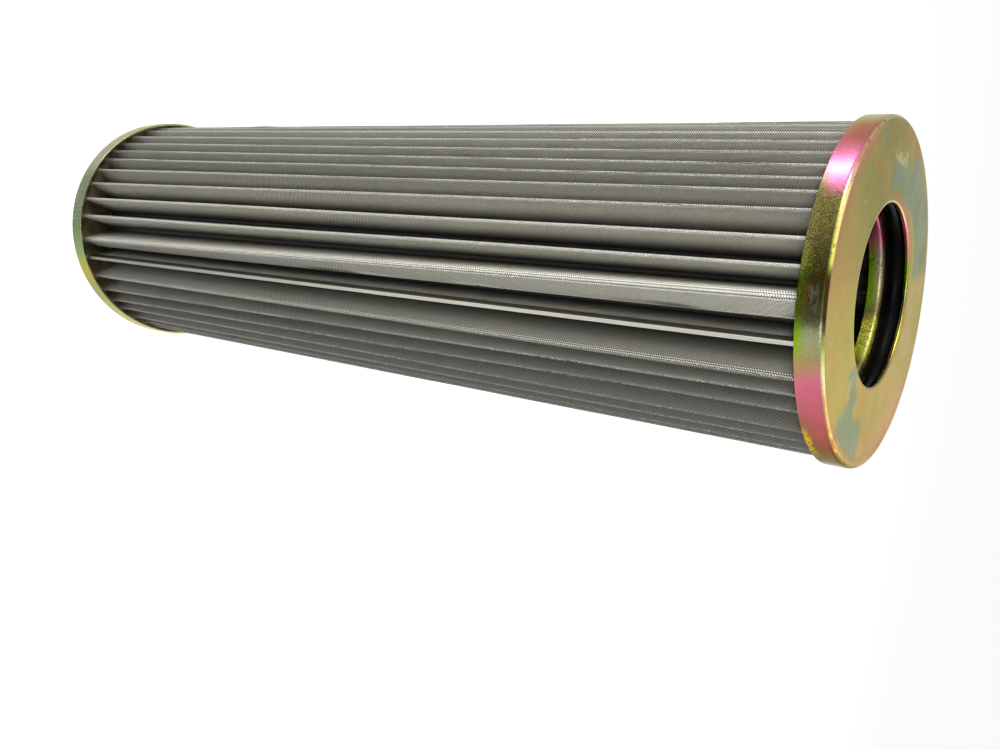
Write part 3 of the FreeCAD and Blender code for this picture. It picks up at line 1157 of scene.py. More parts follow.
# Collar tints; the pale yellow stops from 34 to 52 degrees here and at 48 in the next are a painted
# highlight.
COLLAR_BY_RING_WITH_HOT_SPOT = round_stops(
    (-178, Zinc.STRAW), (-120, Zinc.BRONZE), (-60, Zinc.OLIVE), (0, Zinc.CREAM), (22, Zinc.OLIVE),
    (34, (252, 252, 120)), (52, (250, 250, 120)), (62, Zinc.STRAW), (78, (226, 214, 150)),
    (96, (240, 222, 190)), (112, (248, 130, 160)), (136, (214, 96, 120)), (178, Zinc.STRAW))
COLLAR_BY_END_WITH_HOT_SPOT = round_stops(
    (-178, Zinc.BRONZE), (-120, Zinc.LIME), (-60, Zinc.OLIVE), (4, Zinc.SALMON), (24, Zinc.DARK_OLIVE),
    (32, (190, 220, 30)), (48, (252, 252, 90)), (60, Zinc.OLIVE), (72, (160, 212, 20)),
    (98, (150, 196, 30)), (112, (206, 110, 110)), (136, Zinc.UMBER), (178, Zinc.BRONZE))
TOP_FACE_STAINS = (
    PlatePatch((-63, -56), (20.8 * MM, 26 * MM), Zinc.GREY_SAGE, 0.9, 2.5, 1.2 * MM),
    PlatePatch((-57, -45), (24 * MM, 31 * MM), Zinc.GREY_SAGE, 1.0, 3.0, 1.4 * MM),
    PlatePatch((-57, -28), (29.5 * MM, 38.4 * MM), Zinc.GREY_SAGE, 1.0, 3.0, 1.2 * MM),
    PlatePatch((-61, -58), (20.8 * MM, 30 * MM), (196, 200, 190), 0.7, 0.6, 1.2 * MM, torn=True),
    PlatePatch((84, 142), (25 * MM, 37.6 * MM), Zinc.TEAL, 1.0, 6.0, 1.2 * MM),
    PlatePatch((136, 173), (24 * MM, 31.5 * MM), Zinc.TEAL, 1.0, 4.0, 1.2 * MM),
    PlatePatch((-178, -171), (35 * MM, 38.2 * MM), Zinc.TEAL, 0.6, 3.0, 0.8 * MM),
    PlatePatch((152, 171), (30.2 * MM, 32.8 * MM), (206, 186, 150), 0.65, 2.0, 0.5 * MM, torn=True),
    PlatePatch((-165, -118), (36.4 * MM, 39.5 * MM), Zinc.SALMON, 0.6, 8.0, 0.9 * MM),
    PlatePatch((-20, 35), (33.5 * MM, 38.5 * MM), Zinc.ROSE, 0.35, 9.0, 1.8 * MM),
    PlatePatch((30, 160), (21 * MM, 23 * MM), Zinc.SALMON, 0.6, 12.0, 0.8 * MM),
    PlatePatch((80, 128), (22.6 * MM, 24.4 * MM), Zinc.LIME, 0.4, 9.0, 0.7 * MM),
    PlatePatch((-60, 175), (37.4 * MM, 38.6 * MM), Zinc.SALMON, 0.35, 12.0, 0.5 * MM),
)
TOP_EDGE_STAINS_AND_DARK_REFLECTION = (
    PlatePatch((-174, -52), (38.75 * MM, 39.15 * MM), Zinc.ROSE, 0.75, 8.0, 0.12 * MM),
    # painted dark reflection along the corner
    PlatePatch((-114, -97), (39.25 * MM, 40.1 * MM), (40, 34, 12), 0.85, 4.0, 0.15 * MM),
)
TOP_RIM_STAINS = (
    PlatePatch((-109, -104), (3.3 * MM, 4.7 * MM), (196, 112, 30), 0.8, 0.9, 0.3 * MM, torn=True),
    PlatePatch((-109, -102), (1.8 * MM, 3.6 * MM), (156, 160, 158), 0.95, 1.2, 0.5 * MM, torn=True),
    PlatePatch((-60, -46), (4.6 * MM, 6.2 * MM), (228, 190, 20), 0.8, 3.0, 0.4 * MM, torn=True),
)
CAP_TINTS_AND_REFLECTIONS = {
    End.TOP: {
        "rim": TOP_RIM_WITH_DARK_REFLECTIONS, "rim_back": TOP_RIM_BACK_WITH_DARK_REFLECTIONS, "face": TOP_FACE, "edge": TOP_EDGE_WITH_PAINTED_GLINTS, "lip": TOP_LIP,
        "face_stains": TOP_FACE_STAINS, "rim_stains": TOP_RIM_STAINS, "edge_stains_and_dark_reflection": TOP_EDGE_STAINS_AND_DARK_REFLECTION,
    },
    End.BOTTOM: {
        "rim": BOTTOM_RIM, "rim_back": BOTTOM_RIM, "face": BOTTOM_FACE, "edge": BOTTOM_RIM,
        "lip": BOTTOM_FACE,
    },
}


@dataclass
class EndPiece:
    """A turned piece at one end of the element. Its section is drawn as it lies at the bottom."""

    end: End
    sizes: Sizes

    @property
    def upward(self) -> float:
        """1 at the bottom end and -1 at the top end, where the piece is upside down."""
        return -1.0 if self.end is End.TOP else 1.0

    def height(self, low: float | np.ndarray) -> float | np.ndarray:
        """Return where a height of the bottom end lies at this end."""
        return self.sizes.length - low if self.end is End.TOP else low

    def turned(self, name: str, line: list[Vector], segments: int = 192) -> Object:
        """Turn a closed section about the axis.

        Args:
            name: the object's name, to which the end's is added.
            line: the section's points as radius and height.
            segments: how many steps the full turn has.

        Returns:
            The mesh object.
        """
        radii, heights = np.array([tuple(point) for point in line]).T
        angles = np.linspace(0, 2 * math.pi, segments, endpoint=False)
        across = np.outer(np.cos(angles), radii)
        deep = np.outer(np.sin(angles), radii)
        up = np.broadcast_to(self.height(heights), across.shape)
        return skin(name + self.end.value, np.stack([across, deep, up], axis=-1), closed=True, sharp=35)


@dataclass
class EndCap(EndPiece):
    """A cup pressed from sheet: flat face, rolled rim, and the bore with its rounded lip."""

    edge_round: float = 0.22 * MM
    inner_bend: float = 0.5 * MM

    def outline(self) -> list[Corner]:
        """Draw the cup's section.

        Returns:
            Its corners.
        """
        s = self.sizes
        inner = s.cap_radius - s.cap_sheet
        return [
            Corner(s.bore_radius, 0.0, s.lip_round),
            Corner(s.cap_radius, 0.0, s.rim_round),
            Corner(s.cap_radius, s.rim_height, self.edge_round),
            Corner(inner, s.rim_height, self.edge_round),
            Corner(inner, s.cap_sheet, self.inner_bend),
            Corner(s.bore_radius, s.cap_sheet),
        ]

    def finish(self) -> ZincFinish:
        """Choose this end's tints, with the top cap's painted glints and dark reflections, and fit them to
        the cup.

        Returns:
            The cup's plate.
        """
        places = {"rim_radius": self.sizes.cap_radius, "lip_radius": self.sizes.bore_radius,
                  "face_height": self.height(0.0), "inward": self.upward}
        return ZincFinish(name="zinc_" + self.end.value + "_cap", **CAP_TINTS_AND_REFLECTIONS[self.end], **places)

    def build(self, patterns: Patterns) -> None:
        """Turn the cup, plate it and seat it.

        Args:
            patterns: the shared shader groups.
        """
        cup = self.turned("plated_cap_", section_line(self.outline()))
        cup.data.materials.append(self.finish().build(patterns))
        seat(cup, Slot.ZINC, self.end.value + "_end_cap")


@dataclass
class SealHousing(EndPiece):
    """The stepped ring behind the bore: a wide wall round the O-ring, then a collar."""

    edge_round: float = 0.15 * MM

    def outline(self) -> list[Corner]:
        """Draw the ring's section.

        Returns:
            Its corners.
        """
        s = self.sizes
        groove = s.housing_radius - s.housing_sheet
        step = s.groove_end + s.housing_sheet
        return [
            Corner(groove, s.cap_sheet),
            Corner(s.housing_radius, s.cap_sheet),
            Corner(s.housing_radius, step, s.housing_sheet),
            Corner(s.bore_radius + s.housing_sheet, step),
            Corner(s.bore_radius + s.housing_sheet, s.collar_end, self.edge_round),
            Corner(s.bore_radius, s.collar_end, self.edge_round),
            Corner(s.bore_radius, s.groove_end, s.housing_sheet),
            Corner(groove, s.groove_end),
        ]

    def build(self, patterns: Patterns) -> None:
        """Turn the ring, plate it and seat it.

        Args:
            patterns: the shared shader groups.
        """
        finish = CollarFinish(
            name="zinc_" + self.end.value + "_housing",
            by_ring=COLLAR_BY_RING_WITH_HOT_SPOT,
            by_end=COLLAR_BY_END_WITH_HOT_SPOT,
            ring_height=self.height(self.sizes.groove_end),
            end_height=self.height(self.sizes.collar_end),
        )
        ring = self.turned("plated_housing_", section_line(self.outline()))
        ring.data.materials.append(finish.build(patterns))
        seat(ring, Slot.ZINC, self.end.value + "_seal_housing")


@dataclass
class SealRing(EndPiece):
    """The O-ring, with the faint ridge that its mould leaves on its inner and outer sides."""

    ridge: float = 0.035 * MM
    ridge_spread: float = 0.12
    points: int = 64

    def section(self) -> list[Vector]:
        """Draw the ring's round section.

        Returns:
            Its points.
        """
        half = self.sizes.seal_section / 2
        centre = Vector((self.sizes.seal_inner + half, self.sizes.seal_low + half))
        line = []
        for angle in np.linspace(0, 2 * math.pi, self.points, endpoint=False):
            proud = self.ridge * math.exp(-((math.sin(angle) / self.ridge_spread) ** 2))
            line.append(centre + Vector((math.cos(angle), math.sin(angle))) * (half + proud))
        return line

    def build(self, rubber: Material) -> None:
        """Turn the ring and seat it.

        Args:
            rubber: the material of both rings.
        """
        ring = self.turned("rubber_ring_", self.section())
        ring.data.materials.append(rubber)
        seat(ring, Slot.RUBBER, self.end.value + "_o_ring")


@dataclass
class PottingBed(EndPiece):
    """The epoxy in one cap: it stands a little higher where it wets the pleats."""

    play: float = 0.05 * MM
    rings: int = 24
    segments: int = 720

    def section(self) -> list[Vector]:
        """Draw the ring's section, with many points along its free face.

        Returns:
            Its points.
        """
        s = self.sizes
        inner = s.core_radius + self.play
        outer = s.cap_radius - s.cap_sheet - self.play
        face = [Vector((radius, s.potting_top)) for radius in np.linspace(outer, inner, self.rings)]
        return [Vector((inner, s.cap_sheet)), Vector((outer, s.cap_sheet)), *face]

    def wet_tree(self) -> Tree:
        """Build the tree that draws the epoxy's free face up where it meets the cloth.

        Returns:
            The tree.
        """
        board = ShapeBoard("Wet the pleats", {
            "Cloth": ("Object", None),
            "Level": ("Float", 5.5 * MM),
            "Upward": ("Float", 1.0),
            "Rise": ("Float", 0.45 * MM),
            "Reach": ("Float", 0.9 * MM),
            "Sink": ("Float", 0.3 * MM),
            "Epoxy": ("Material", None),
        })
        entry = board.entry
        near = board.add("GeometryNodeProximity", {0: board.shape_of("Cloth")}, target_element="FACES")
        far = board.maths("DIVIDE", near.outputs["Distance"], entry["Reach"])
        share = board.maths("MAXIMUM", board.less(1.0, far), 0.0)
        rise = board.times(board.times(share, share), entry["Rise"])
        place = board.place()
        rise = board.less(rise, board.times(board.noise(place, 4 * MM, 2.0), entry["Sink"]))
        away = board.maths("ABSOLUTE", board.less(board.split(place)[2], entry["Level"]))
        free = board.maths("LESS_THAN", away, 0.05 * MM)
        lift = board.join(0.0, 0.0, board.times(rise, entry["Upward"]))
        return board.close(board.move(entry["Geometry"], Selection=free, Offset=lift), "Epoxy")

    def build(self, cloth: Object, epoxy: Material) -> None:
        """Pour the ring round the finished cloth and seat it.

        Args:
            cloth: the pack's outer cloth.
            epoxy: the material of both rings.
        """
        host = self.turned("potting_host_", self.section(), self.segments)
        run_tree(host, self.wet_tree(), {
            "Cloth": cloth, "Level": self.height(self.sizes.potting_top), "Upward": self.upward,
            "Epoxy": epoxy,
        })
        bed = settle(host, "potting_bed_" + self.end.value)
        seat(bed, Slot.EPOXY, self.end.value + "_potting")


@dataclass(frozen=True)
class FoldLayout:
    """Where the folds stand at one end of the pack, as gaps in degrees counted away from the seam."""

    seam: float
    onward: tuple[float, ...]
    backward: tuple[float, ...]

    def crests(self, count: int, uneven: np.ndarray) -> np.ndarray:
        """Place every crest.

        Args:
            count: how many pleats there are.
            uneven: how far each crest stands off the even spacing on the hidden side.

        Returns:
            The azimuth of every crest, from the seam all round to the seam again.
        """
        first = self.seam + np.concatenate([[0.0], np.cumsum(self.onward)])
        last = self.seam + 360 - np.concatenate([[0.0], np.cumsum(self.backward)])[::-1]
        spare = count - len(self.onward) - len(self.backward)
        between = np.linspace(first[-1], last[0], spare + 1)[1:-1] + uneven[:spare - 1]
        return np.concatenate([first, between, last])


@dataclass(frozen=True)
class Layer:
    """One cloth of the pack: how deep it lies, its thickness, and how finely its folds are rounded."""

    name: str
    node: str
    slot: Slot
    inset: float
    thickness: float
    bend_points: int
    finish: ClothFinish


LAYERS = (
    Layer("support_cloth", "outer_support_mesh", Slot.CLOTH, 0.0, 0.2 * MM, 3,
          ClothFinish(name="woven_support_wire")),
    Layer("filter_cloth", "filter_mesh", Slot.FINE_CLOTH, 0.22 * MM, 0.08 * MM, 1,
          ClothFinish(name="woven_fine_wire", pitch=0.12 * MM, flank=(140, 139, 130))),
    Layer("backing_cloth", "inner_support_mesh", Slot.CLOTH, 0.32 * MM, 0.16 * MM, 1,
          ClothFinish(name="woven_backing_wire")),
)


@dataclass(frozen=True)
class Station:
    """A corner of the fold line: its place, its bend, and the bow of the flank after it, if one follows."""

    place: np.ndarray
    bend: float
    bow: float | None = None


def beside(azimuth: float, radius: float, aside: float = 0.0) -> np.ndarray:
    """Return the point at an azimuth and a radius, moved aside at right angles."""
    out = np.array([math.cos(math.radians(azimuth)), math.sin(math.radians(azimuth))])
    return out * radius + np.array([-out[1], out[0]]) * aside


@dataclass
class PleatedPack:
    """Three wire cloths folded together into pleats, with uneven folds on both sides of the seam."""

    sizes: Sizes
    count: int = 52
    rows: int = 29
    seed: int = 11
    crest_half: float = 0.45 * MM
    crest_bend: float = 0.5 * MM
    crest_sway: float = 0.3
    sway_waves: float = 1.3
    crest_sink: float = 0.07 * MM
    sink_turn: float = 5.0
    wide_half: float = 0.9 * MM
    root_half: float = 0.3 * MM
    root_bend: float = 0.35 * MM
    flank_bend: float = 30 * MM
    bulge: float = 0.22 * MM
    sunk: float = 0.5 * MM
    seam_half: float = 0.42 * MM
    seam_leg: float = 2.6 * MM
    seam_tip: float = 0.25 * MM
    seam_bend: float = 1.5 * MM
    lean: float = 0.76
    shoulder_turn: float = 7.0
    shoulder_back: float = 2.0
    shoulder_drop: float = 1.5 * MM
    shoulder_sink: float = 3.2 * MM
    even_gap: float = 6.4
    uneven_gap: float = 0.45
    top: FoldLayout = FoldLayout(-91.0, (12, 6, 7, 10.5, 7, 8),
                                 (14, 9, 8.5, 9, 6.5, 5, 5.5, 6, 6.5, 6.5, 9))
    bottom: FoldLayout = FoldLayout(-88.8, (10.5, 8.5, 7.5, 6.5, 8.5, 7),
                                    (9.7, 12.1, 9.2, 8.6, 8.2, 7.3, 6.4, 6.5, 7.5, 9.5, 6.5))

    def __post_init__(self) -> None:
        """Draw the random part of every fold once, in a fixed order."""
        draw = np.random.default_rng(self.seed)
        self.uneven = draw.uniform(-self.uneven_gap, self.uneven_gap, self.count)
        self.phase = draw.uniform(0, 2 * math.pi, self.count + 1)
        self.sway = draw.uniform(0.0, self.crest_sway, self.count + 1)
        self.low = draw.uniform(0.0, self.crest_sink, self.count + 1)
        self.bow = draw.uniform(-self.bulge, self.bulge, (self.count, 2))
        self.sway[[0, -1]] = 0.0
        self.low[[0, -1]] = 0.0

    def crests_at(self, share: float) -> np.ndarray:
        """Place every crest at one height.

        Args:
            share: how far up the pack the height is, from 0 to 1.

        Returns:
            Every crest's azimuth.
        """
        low = self.bottom.crests(self.count, self.uneven)
        high = self.top.crests(self.count, self.uneven)
        wave = np.sin(2 * math.pi * self.sway_waves * share + self.phase) * math.sin(math.pi * share)
        return low + (high - low) * share + self.sway * wave

    def heights(self, steps: int) -> np.ndarray:
        """Return heights spread evenly over the pack, from just inside the epoxy at each end."""
        low = self.sizes.potting_top - self.sunk
        return np.linspace(low, self.sizes.length - low, steps)

    def root(self, crests: np.ndarray, number: int) -> list[Station]:
        """Place the root after a crest.

        Args:
            crests: every crest's azimuth.
            number: the crest that the root follows.

        Returns:
            The two corners of the root.
        """
        gap = crests[number + 1] - crests[number]
        middle = crests[number] + gap * (self.lean if number == self.count - 1 else 0.5)
        half = self.root_half * gap / self.even_gap
        radius = self.sizes.root_radius
        return [
            Station(beside(middle, radius, -half), self.root_bend),
            Station(beside(middle, radius, half), self.root_bend, self.bow[number, 1]),
        ]

    def crest(self, azimuth: float, number: int, share: float) -> list[Station]:
        """Place a crest away from the seam. The ones beside the seam's widen towards the top.

        Args:
            azimuth: the crest's azimuth.
            number: the crest's number.
            share: how far up the pack it is drawn, from 0 to 1.

        Returns:
            The two corners of the crest.
        """
        beside_seam = number in (1, self.count - 1)
        half = self.crest_half + (self.wide_half - self.crest_half) * share * beside_seam
        bend = self.crest_bend * half / self.crest_half
        dip = 0.5 + 0.5 * math.sin(self.sink_turn * share + self.phase[number])
        radius = self.sizes.crest_radius - self.low[number] * dip
        return [
            Station(beside(azimuth, radius, -half), bend),
            Station(beside(azimuth, radius, half), bend, self.bow[number, 0]),
        ]

    def row(self, share: float) -> tuple[np.ndarray, np.ndarray]:
        """Draw the fold line at one height.

        Args:
            share: how far up the pack the line lies, from 0 to 1.

        Returns:
            The corners in the plane and the radius of the bend at each.
        """
        crests = self.crests_at(share)
        crown = self.sizes.crest_radius
        tip, foot = crown - self.seam_tip, crown - self.seam_leg
        stations = [
            Station(beside(crests[0], tip, self.seam_half), self.crest_bend),
            Station(beside(crests[0], foot, self.seam_half), self.seam_bend, self.bow[0, 0]),
        ]
        for number in range(self.count):
            stations.extend(self.root(crests, number))
            if number + 1 < self.count:
                stations.extend(self.crest(crests[number + 1], number + 1, share))
        below = 1 - share
        turn = self.shoulder_turn - self.shoulder_back * below
        drop = self.shoulder_drop + self.shoulder_sink * below
        shoulder = beside(crests[-2] + turn, crown - drop)
        stations.insert(-2, Station(shoulder, 2 * self.crest_bend))
        stations.append(Station(beside(crests[-1], foot, -self.seam_half), self.seam_bend))
        stations.append(Station(beside(crests[-1], tip, -self.seam_half), self.crest_bend))
        return self.bowed(stations)

    def bowed(self, stations: list[Station]) -> tuple[np.ndarray, np.ndarray]:
        """Bow every flank by a point in its middle.

        Args:
            stations: the corners of the fold line.

        Returns:
            All the corners in the plane and the radius of the bend at each.
        """
        corners, bends = [], []
        for number, station in enumerate(stations):
            corners.append(station.place)
            bends.append(station.bend)
            if station.bow is not None:
                run = stations[number + 1].place - station.place
                aside = np.array([run[1], -run[0]]) / np.linalg.norm(run)
                corners.append(station.place + run / 2 + aside * station.bow)
                bends.append(self.flank_bend)
        return np.array(corners), np.array(bends)

    def fold_lines(self) -> Object:
        """Draw the fold lines of all the rows.

        Returns:
            One curve object, with the bends as its radii.
        """
        lines = []
        for share, height in zip(np.linspace(0, 1, self.rows), self.heights(self.rows)):
            corners, bends = self.row(share)
            lines.append((np.column_stack([corners, np.full(len(corners), height)]), bends))
        return draw_lines("fold_lines", lines)

    def fold_tree(self) -> Tree:
        """Build the tree that lays a cloth through the fold lines, with its bends rounded.

        Returns:
            The tree. The cloth carries its flat pattern as its UV map.
        """
        board = ShapeBoard("Fold cloth", {
            "Fold Lines": ("Object", None),
            "Rows": ("Int", 2),
            "Bend Points": ("Int", 3),
            "Inset": ("Float", 0.0),
            "Ripple": ("Float", 0.05 * MM),
            "Ripple Width": ("Float", 6 * MM),
            "Cloth": ("Material", None),
        })
        entry = board.entry
        rounded = board.make("GeometryNodeFilletCurve", {
            "Curve": board.shape_of("Fold Lines"), "Count": entry["Bend Points"],
            "Radius": board.make("GeometryNodeInputRadius"), "Limit Radius": True,
        }, mode="POLY")
        counts = board.add("GeometryNodeAttributeDomainSize", {0: rounded}, component="CURVE").outputs
        per_row = board.maths("DIVIDE", counts["Point Count"], entry["Rows"])
        grid = board.make("GeometryNodeMeshGrid", {"Vertices X": entry["Rows"], "Vertices Y": per_row})
        index = board.make("GeometryNodeInputIndex")
        place = board.place()
        on_line = {"Geometry": rounded, "Value": place, "Index": index}
        on_line = board.make("GeometryNodeSampleIndex", on_line, data_type="FLOAT_VECTOR", domain="POINT")
        laid = board.make("GeometryNodeFlipFaces", {0: board.move(grid, Position=on_line)})
        run = {
            "Geometry": rounded, "Value": board.add("GeometryNodeSplineParameter").outputs["Length"],
            "Index": board.maths("MODULO", index, per_row),
        }
        run = board.make("GeometryNodeSampleIndex", run, data_type="FLOAT", domain="POINT")
        flat = {0: board.join(run, board.split(place)[2], 0.0)}
        flat = board.make("GeometryNodeFieldOnDomain", flat, data_type="FLOAT_VECTOR", domain="POINT")
        laid = board.make("GeometryNodeStoreNamedAttribute", {
            "Geometry": laid, "Name": "UVMap", "Value": flat,
        }, data_type="FLOAT2", domain="CORNER")
        noise = board.noise(place, entry["Ripple Width"], 2.0)
        ripple = board.times(board.less(noise, 0.5), entry["Ripple"])
        push = board.vector("SCALE", board.make("GeometryNodeInputNormal"))
        board.put(push.node, "Scale", board.less(ripple, entry["Inset"]))
        laid = board.move(laid, Offset=push)
        return board.close(board.make("GeometryNodeSetShadeSmooth", {0: laid}), "Cloth")

    def build(self, patterns: Patterns) -> list[Object]:
        """Fold every cloth and seat it.

        Args:
            patterns: the shared shader groups.

        Returns:
            The finished cloths, the outer one first.
        """
        lines = self.fold_lines()
        tree = self.fold_tree()
        radii = {"crest_radius": self.sizes.crest_radius, "root_radius": self.sizes.root_radius}
        cloths = []
        for layer in LAYERS:
            host = link(layer.name + "_host", bpy.data.meshes.new(layer.name + "_host"))
            run_tree(host, tree, {
                "Fold Lines": lines, "Rows": self.rows, "Bend Points": layer.bend_points,
                "Inset": layer.inset, "Cloth": replace(layer.finish, **radii).build(patterns),
            })
            wall = host.modifiers.new("cloth thickness", "SOLIDIFY")
            wall.thickness = layer.thickness
            wall.offset = -1.0
            cloth = settle(host, layer.name)
            seat(cloth, layer.slot, layer.node)
            cloths.append(cloth)
        bpy.data.objects.remove(lines)
        return cloths


@dataclass
class SideSeam:
    """The strip folded over the pack's cut ends, with bright drawn wires laid along its crown."""

    pack: PleatedPack
    sheet: float = 0.15 * MM
    leg: float = 2.6 * MM
    half: float = 0.6 * MM
    turn: float = 0.35 * MM
    steps: int = 120
    strands: int = 3
    wire: float = 0.18 * MM
    wire_sunk: float = 0.2
    spread: float = 0.66 * MM
    strip_tint: Colour = (122, 120, 108)
    wire_tint: Colour = (212, 210, 198)

    def course(self) -> list[tuple[float, float]]:
        """Return the seam's azimuth and height at each of its steps, from end to end."""
        azimuths = [self.pack.crests_at(share)[0] for share in np.linspace(0, 1, self.steps)]
        return list(zip(azimuths, self.pack.heights(self.steps)))

    def section(self) -> list[tuple[float, float]]:
        """Draw the strip's folded section.

        Returns:
            Its points, as distances aside from the seam and in from its crown.
        """
        out, inner, turn = self.half, self.half - self.sheet, self.turn
        cut = 0.3 * turn
        return [
            (out, self.leg), (out, turn), (out - cut, cut), (out - turn, 0.0),
            (turn - out, 0.0), (cut - out, cut), (-out, turn), (-out, self.leg),
            (-inner, self.leg), (-inner, turn), (inner, turn), (inner, self.leg),
        ]

    def strip(self) -> Object:
        """Draw the folded section out along the seam.

        Returns:
            The mesh object.
        """
        crown = self.pack.sizes.crest_radius
        rings = [[(*beside(azimuth, crown - deep, across), height) for across, deep in self.section()]
                 for azimuth, height in self.course()]
        return skin("seam_strip", np.array(rings), closed=False, sharp=40)

    def path(self) -> Object:
        """Draw the line along the seam's crown.

        Returns:
            The curve object.
        """
        reach = self.pack.sizes.crest_radius - self.wire * self.wire_sunk
        points = np.array([(*beside(azimuth, reach), height) for azimuth, height in self.course()])
        return draw_lines("seam_path", [(points, np.ones(self.steps))])

    def strand_tree(self) -> Tree:
        """Build the tree that lays wires side by side along a path.

        Returns:
            The tree.
        """
        board = ShapeBoard("Lay strands", {
            "Path": ("Object", None),
            "Strands": ("Int", 4),
            "Spread": ("Float", 1 * MM),
            "Wire": ("Float", 0.1 * MM),
            "Waver": ("Float", 0.12 * MM),
            "Waver Length": ("Float", 9 * MM),
            "Metal": ("Material", None),
        })
        entry = board.entry
        gaps = board.less(entry["Strands"], 1.0)
        row = board.make("GeometryNodeMeshLine", {
            "Count": entry["Strands"],
            "Start Location": board.join(board.times(entry["Spread"], -0.5), 0.0, 0.0),
            "Offset": board.join(board.maths("DIVIDE", entry["Spread"], gaps), 0.0, 0.0),
        }, mode="OFFSET")
        laid = board.make("GeometryNodeInstanceOnPoints", {"Points": row, "Instance": board.shape_of("Path")})
        laid = board.make("GeometryNodeRealizeInstances", {0: laid})
        stretch = board.vector("MULTIPLY", board.place(), (6.0, 1.0, 1.0))
        noise = board.noise(stretch, entry["Waver Length"], 3.0)
        aside = board.times(board.less(noise, 0.5), entry["Waver"])
        laid = board.move(laid, Offset=board.join(aside, board.times(aside, 0.4), 0.0))
        circle = board.make("GeometryNodeCurvePrimitiveCircle", {"Resolution": 8, "Radius": entry["Wire"]})
        wires = board.make("GeometryNodeCurveToMesh", {
            "Curve": laid, "Profile Curve": circle, "Fill Caps": True,
        })
        return board.close(board.make("GeometryNodeSetShadeSmooth", {0: wires}), "Metal")

    def build(self, patterns: Patterns) -> None:
        """Make the strip and its wires and seat them.

        Args:
            patterns: the shared shader groups.
        """
        strip = self.strip()
        finish = StripFinish(name="folded_seam_strip", tint=self.strip_tint)
        strip.data.materials.append(finish.build(patterns))
        seat(strip, Slot.STRIP, "seam_clip")
        metal = StripFinish(name="drawn_seam_wire", tint=self.wire_tint).build(patterns)
        path = self.path()
        host = link("strand_host", bpy.data.meshes.new("strand_host"))
        run_tree(host, self.strand_tree(), {
            "Path": path, "Strands": self.strands, "Spread": self.spread, "Wire": self.wire, "Metal": metal,
        })
        wires = settle(host, "seam_wires")
        bpy.data.objects.remove(path)
        seat(wires, Slot.STRIP)


@dataclass
class CoreTube:
    """The perforated tube that carries the pack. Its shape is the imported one."""

    def build(self, patterns: Patterns) -> None:
        """Give the tube its finish.

        Args:
            patterns: the shared shader groups.
        """
        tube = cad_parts["core_tube"]
        tube.data.materials.clear()
        tube.data.materials.append(CoreFinish(name="tinned_core_steel").build(patterns))


@dataclass(frozen=True)
class Lamp:
    """A soft lamp. A strength of 1 alone makes a white surface that faces it render white."""

    name: str
    azimuth: float
    elevation: float
    distance: float
    width: float
    height: float
    strength: float
    aim: tuple[float, float, float] = (0.0, 0.0, 0.15)

    def hang(self) -> None:
        """Put the lamp in its place, facing the middle of the element."""
        round_axis, above = math.radians(self.azimuth), math.radians(self.elevation)
        level = math.cos(above)
        way = Vector((math.cos(round_axis) * level, math.sin(round_axis) * level, math.sin(above)))
        data = bpy.data.lights.new(self.name, "AREA")
        data.shape = "RECTANGLE"
        data.size, data.size_y = self.width, self.height
        data.energy = math.pi ** 2 * self.distance ** 2 * self.strength
        lamp = link(self.name, data)
        turn = (-way).to_track_quat("-Z", "Y").to_matrix().to_4x4()
        lamp.matrix_world = Matrix.Translation(Vector(self.aim) + way * self.distance) @ turn
        lamp.visible_camera = False


LAMPS = (
    Lamp("front", -98, 24, 0.9, 0.4, 0.35, 0.27),
    Lamp("window", -138, 28, 0.9, 0.3, 0.2, 0.13),
    Lamp("raking", -170, 25, 0.9, 0.35, 0.35, 0.5),
    Lamp("side", 173, -5, 0.57, 0.1, 0.18, 0.14),
    Lamp("fill", 25, 38, 1.2, 0.8, 0.8, 0.22),
)


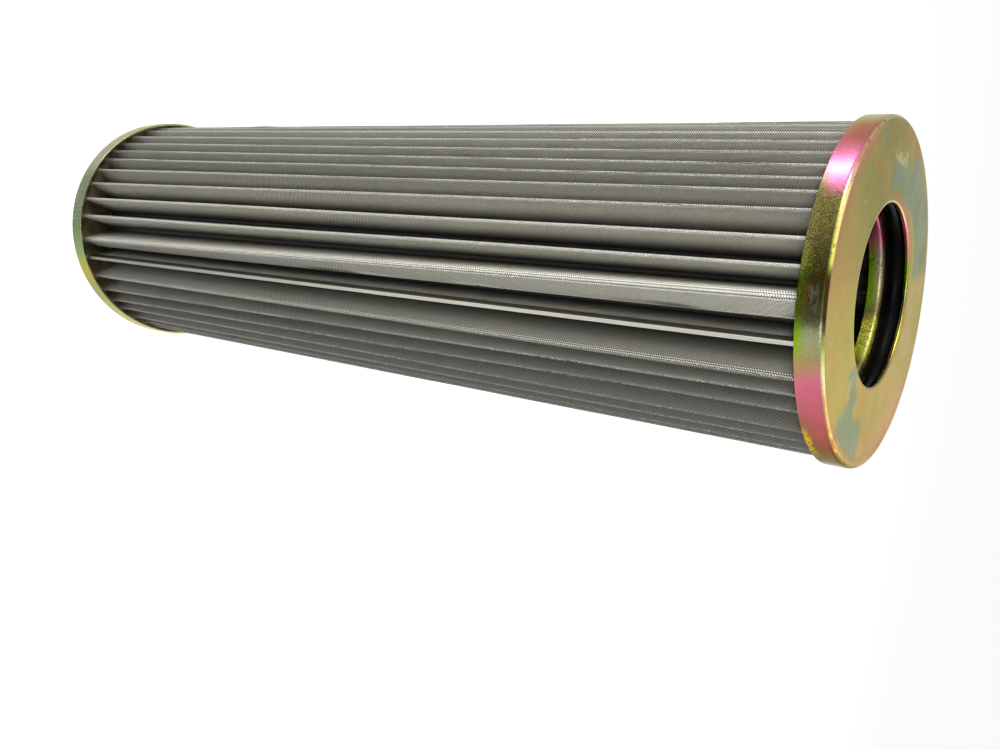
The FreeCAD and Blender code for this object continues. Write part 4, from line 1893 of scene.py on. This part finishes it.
@dataclass
class Studio:
    """A pale floor, soft light and the camera."""

    eye: tuple[float, float, float] = (-0.06348, -0.200, 0.32746)
    right: tuple[float, float, float] = (0.07725, 0.54969, 0.83179)
    up: tuple[float, float, float] = (-0.92977, 0.34092, -0.13895)
    lens: float = 32.35
    sensor: float = 36.0
    shift: Span = (-0.0782, -0.0052)
    sight: Span = (0.01, 50.0)
    floor_half: float = 6.0
    floor_gap: float = 0.1 * MM
    floor_tint: float = 0.4
    floor_roughness: float = 0.9
    floor_glow: float = 0.92
    sky: float = 0.16
    sky_below: float = 0.02
    sky_edge: float = 0.8

    def camera(self) -> None:
        """Set up the camera at the photograph's viewing angle."""
        data = bpy.data.cameras.new("camera")
        data.lens = self.lens
        data.sensor_width = self.sensor
        data.shift_x, data.shift_y = self.shift
        data.clip_start, data.clip_end = self.sight
        camera = link("camera", data)
        right, up = Vector(self.right), Vector(self.up)
        axes = Matrix((right, up, right.cross(up))).transposed()
        camera.matrix_world = Matrix.Translation(self.eye) @ axes.to_4x4()
        bpy.context.scene.camera = camera

    def seen_mask(self, board: Board) -> Socket:
        """Tell the rays that see a surface from those that it lights.

        Args:
            board: the board of a material or of the world.

        Returns:
            1 for rays that come from the camera or off gloss or glass, and 0 for the rest.
        """
        path = board.add("ShaderNodeLightPath").outputs
        seen = board.maths("MAXIMUM", path["Is Camera Ray"], path["Is Glossy Ray"])
        return board.maths("MAXIMUM", seen, path["Is Transmission Ray"])

    def world(self) -> None:
        """Light the object softly, least from the side of X, in front of a white background."""
        world = bpy.data.worlds.new("studio")
        world.use_nodes = True
        bpy.context.scene.world = world
        board = Board(world.node_tree)
        glow = world.node_tree.nodes["Background"]
        board.put(glow, "Color", (1, 1, 1, 1))
        across = board.split(board.add("ShaderNodeTexCoord").outputs["Generated"])[0]
        share = board.fade(board.times(across, -1.0), -self.sky_edge, self.sky_edge)
        soft = board.scale(share, self.sky_below, self.sky)
        seen = self.seen_mask(board)
        rest = board.times(soft, board.less(1.0, seen))
        board.put(glow, "Strength", board.maths("ADD", seen, rest))

    def floor(self) -> None:
        """Lay a floor that shows white, with the object's shadow on it."""
        mesh = bpy.data.meshes.new("floor")
        sides = ((-1, -1), (1, -1), (1, 1), (-1, 1))
        corners = [(x * self.floor_half, y * self.floor_half, -self.floor_gap) for x, y in sides]
        mesh.from_pydata(corners, [], [(0, 1, 2, 3)])
        floor = link("floor", mesh)
        material = bpy.data.materials.new("floor")
        material.use_nodes = True
        board = Board(material.node_tree)
        values = {
            "Base Color": (self.floor_tint, self.floor_tint, self.floor_tint, 1),
            "Roughness": self.floor_roughness, "Specular IOR Level": 0.0, "Emission Color": (1, 1, 1, 1),
            "Emission Strength": board.scale(self.seen_mask(board), 0.0, self.floor_glow),
        }
        for name, value in values.items():
            board.put(material.node_tree.nodes["Principled BSDF"], name, value)
        mesh.materials.append(material)

    def build(self) -> None:
        """Set up everything that isn't the object."""
        bpy.context.scene.view_settings.view_transform = "Standard"
        self.world()
        self.floor()
        for lamp in LAMPS:
            lamp.hang()
        self.camera()


def main() -> None:
    """Dress the element, piece by piece, and set up the studio."""
    logging.basicConfig(level=logging.INFO, format="%(message)s")
    sizes = Sizes.from_frame()
    patterns = Patterns()
    pack = PleatedPack(sizes)
    cloths = pack.build(patterns)
    SideSeam(pack).build(patterns)
    CoreTube().build(patterns)
    rubber = RubberFinish(name="black_nitrile").build(patterns)
    epoxy = EpoxyFinish(name="potting_epoxy").build(patterns)
    for end in End:
        EndCap(end, sizes).build(patterns)
        SealHousing(end, sizes).build(patterns)
        SealRing(end, sizes).build(rubber)
        PottingBed(end, sizes).build(cloths[0], epoxy)
    Studio().build()


if __name__ == "__main__":
    main()
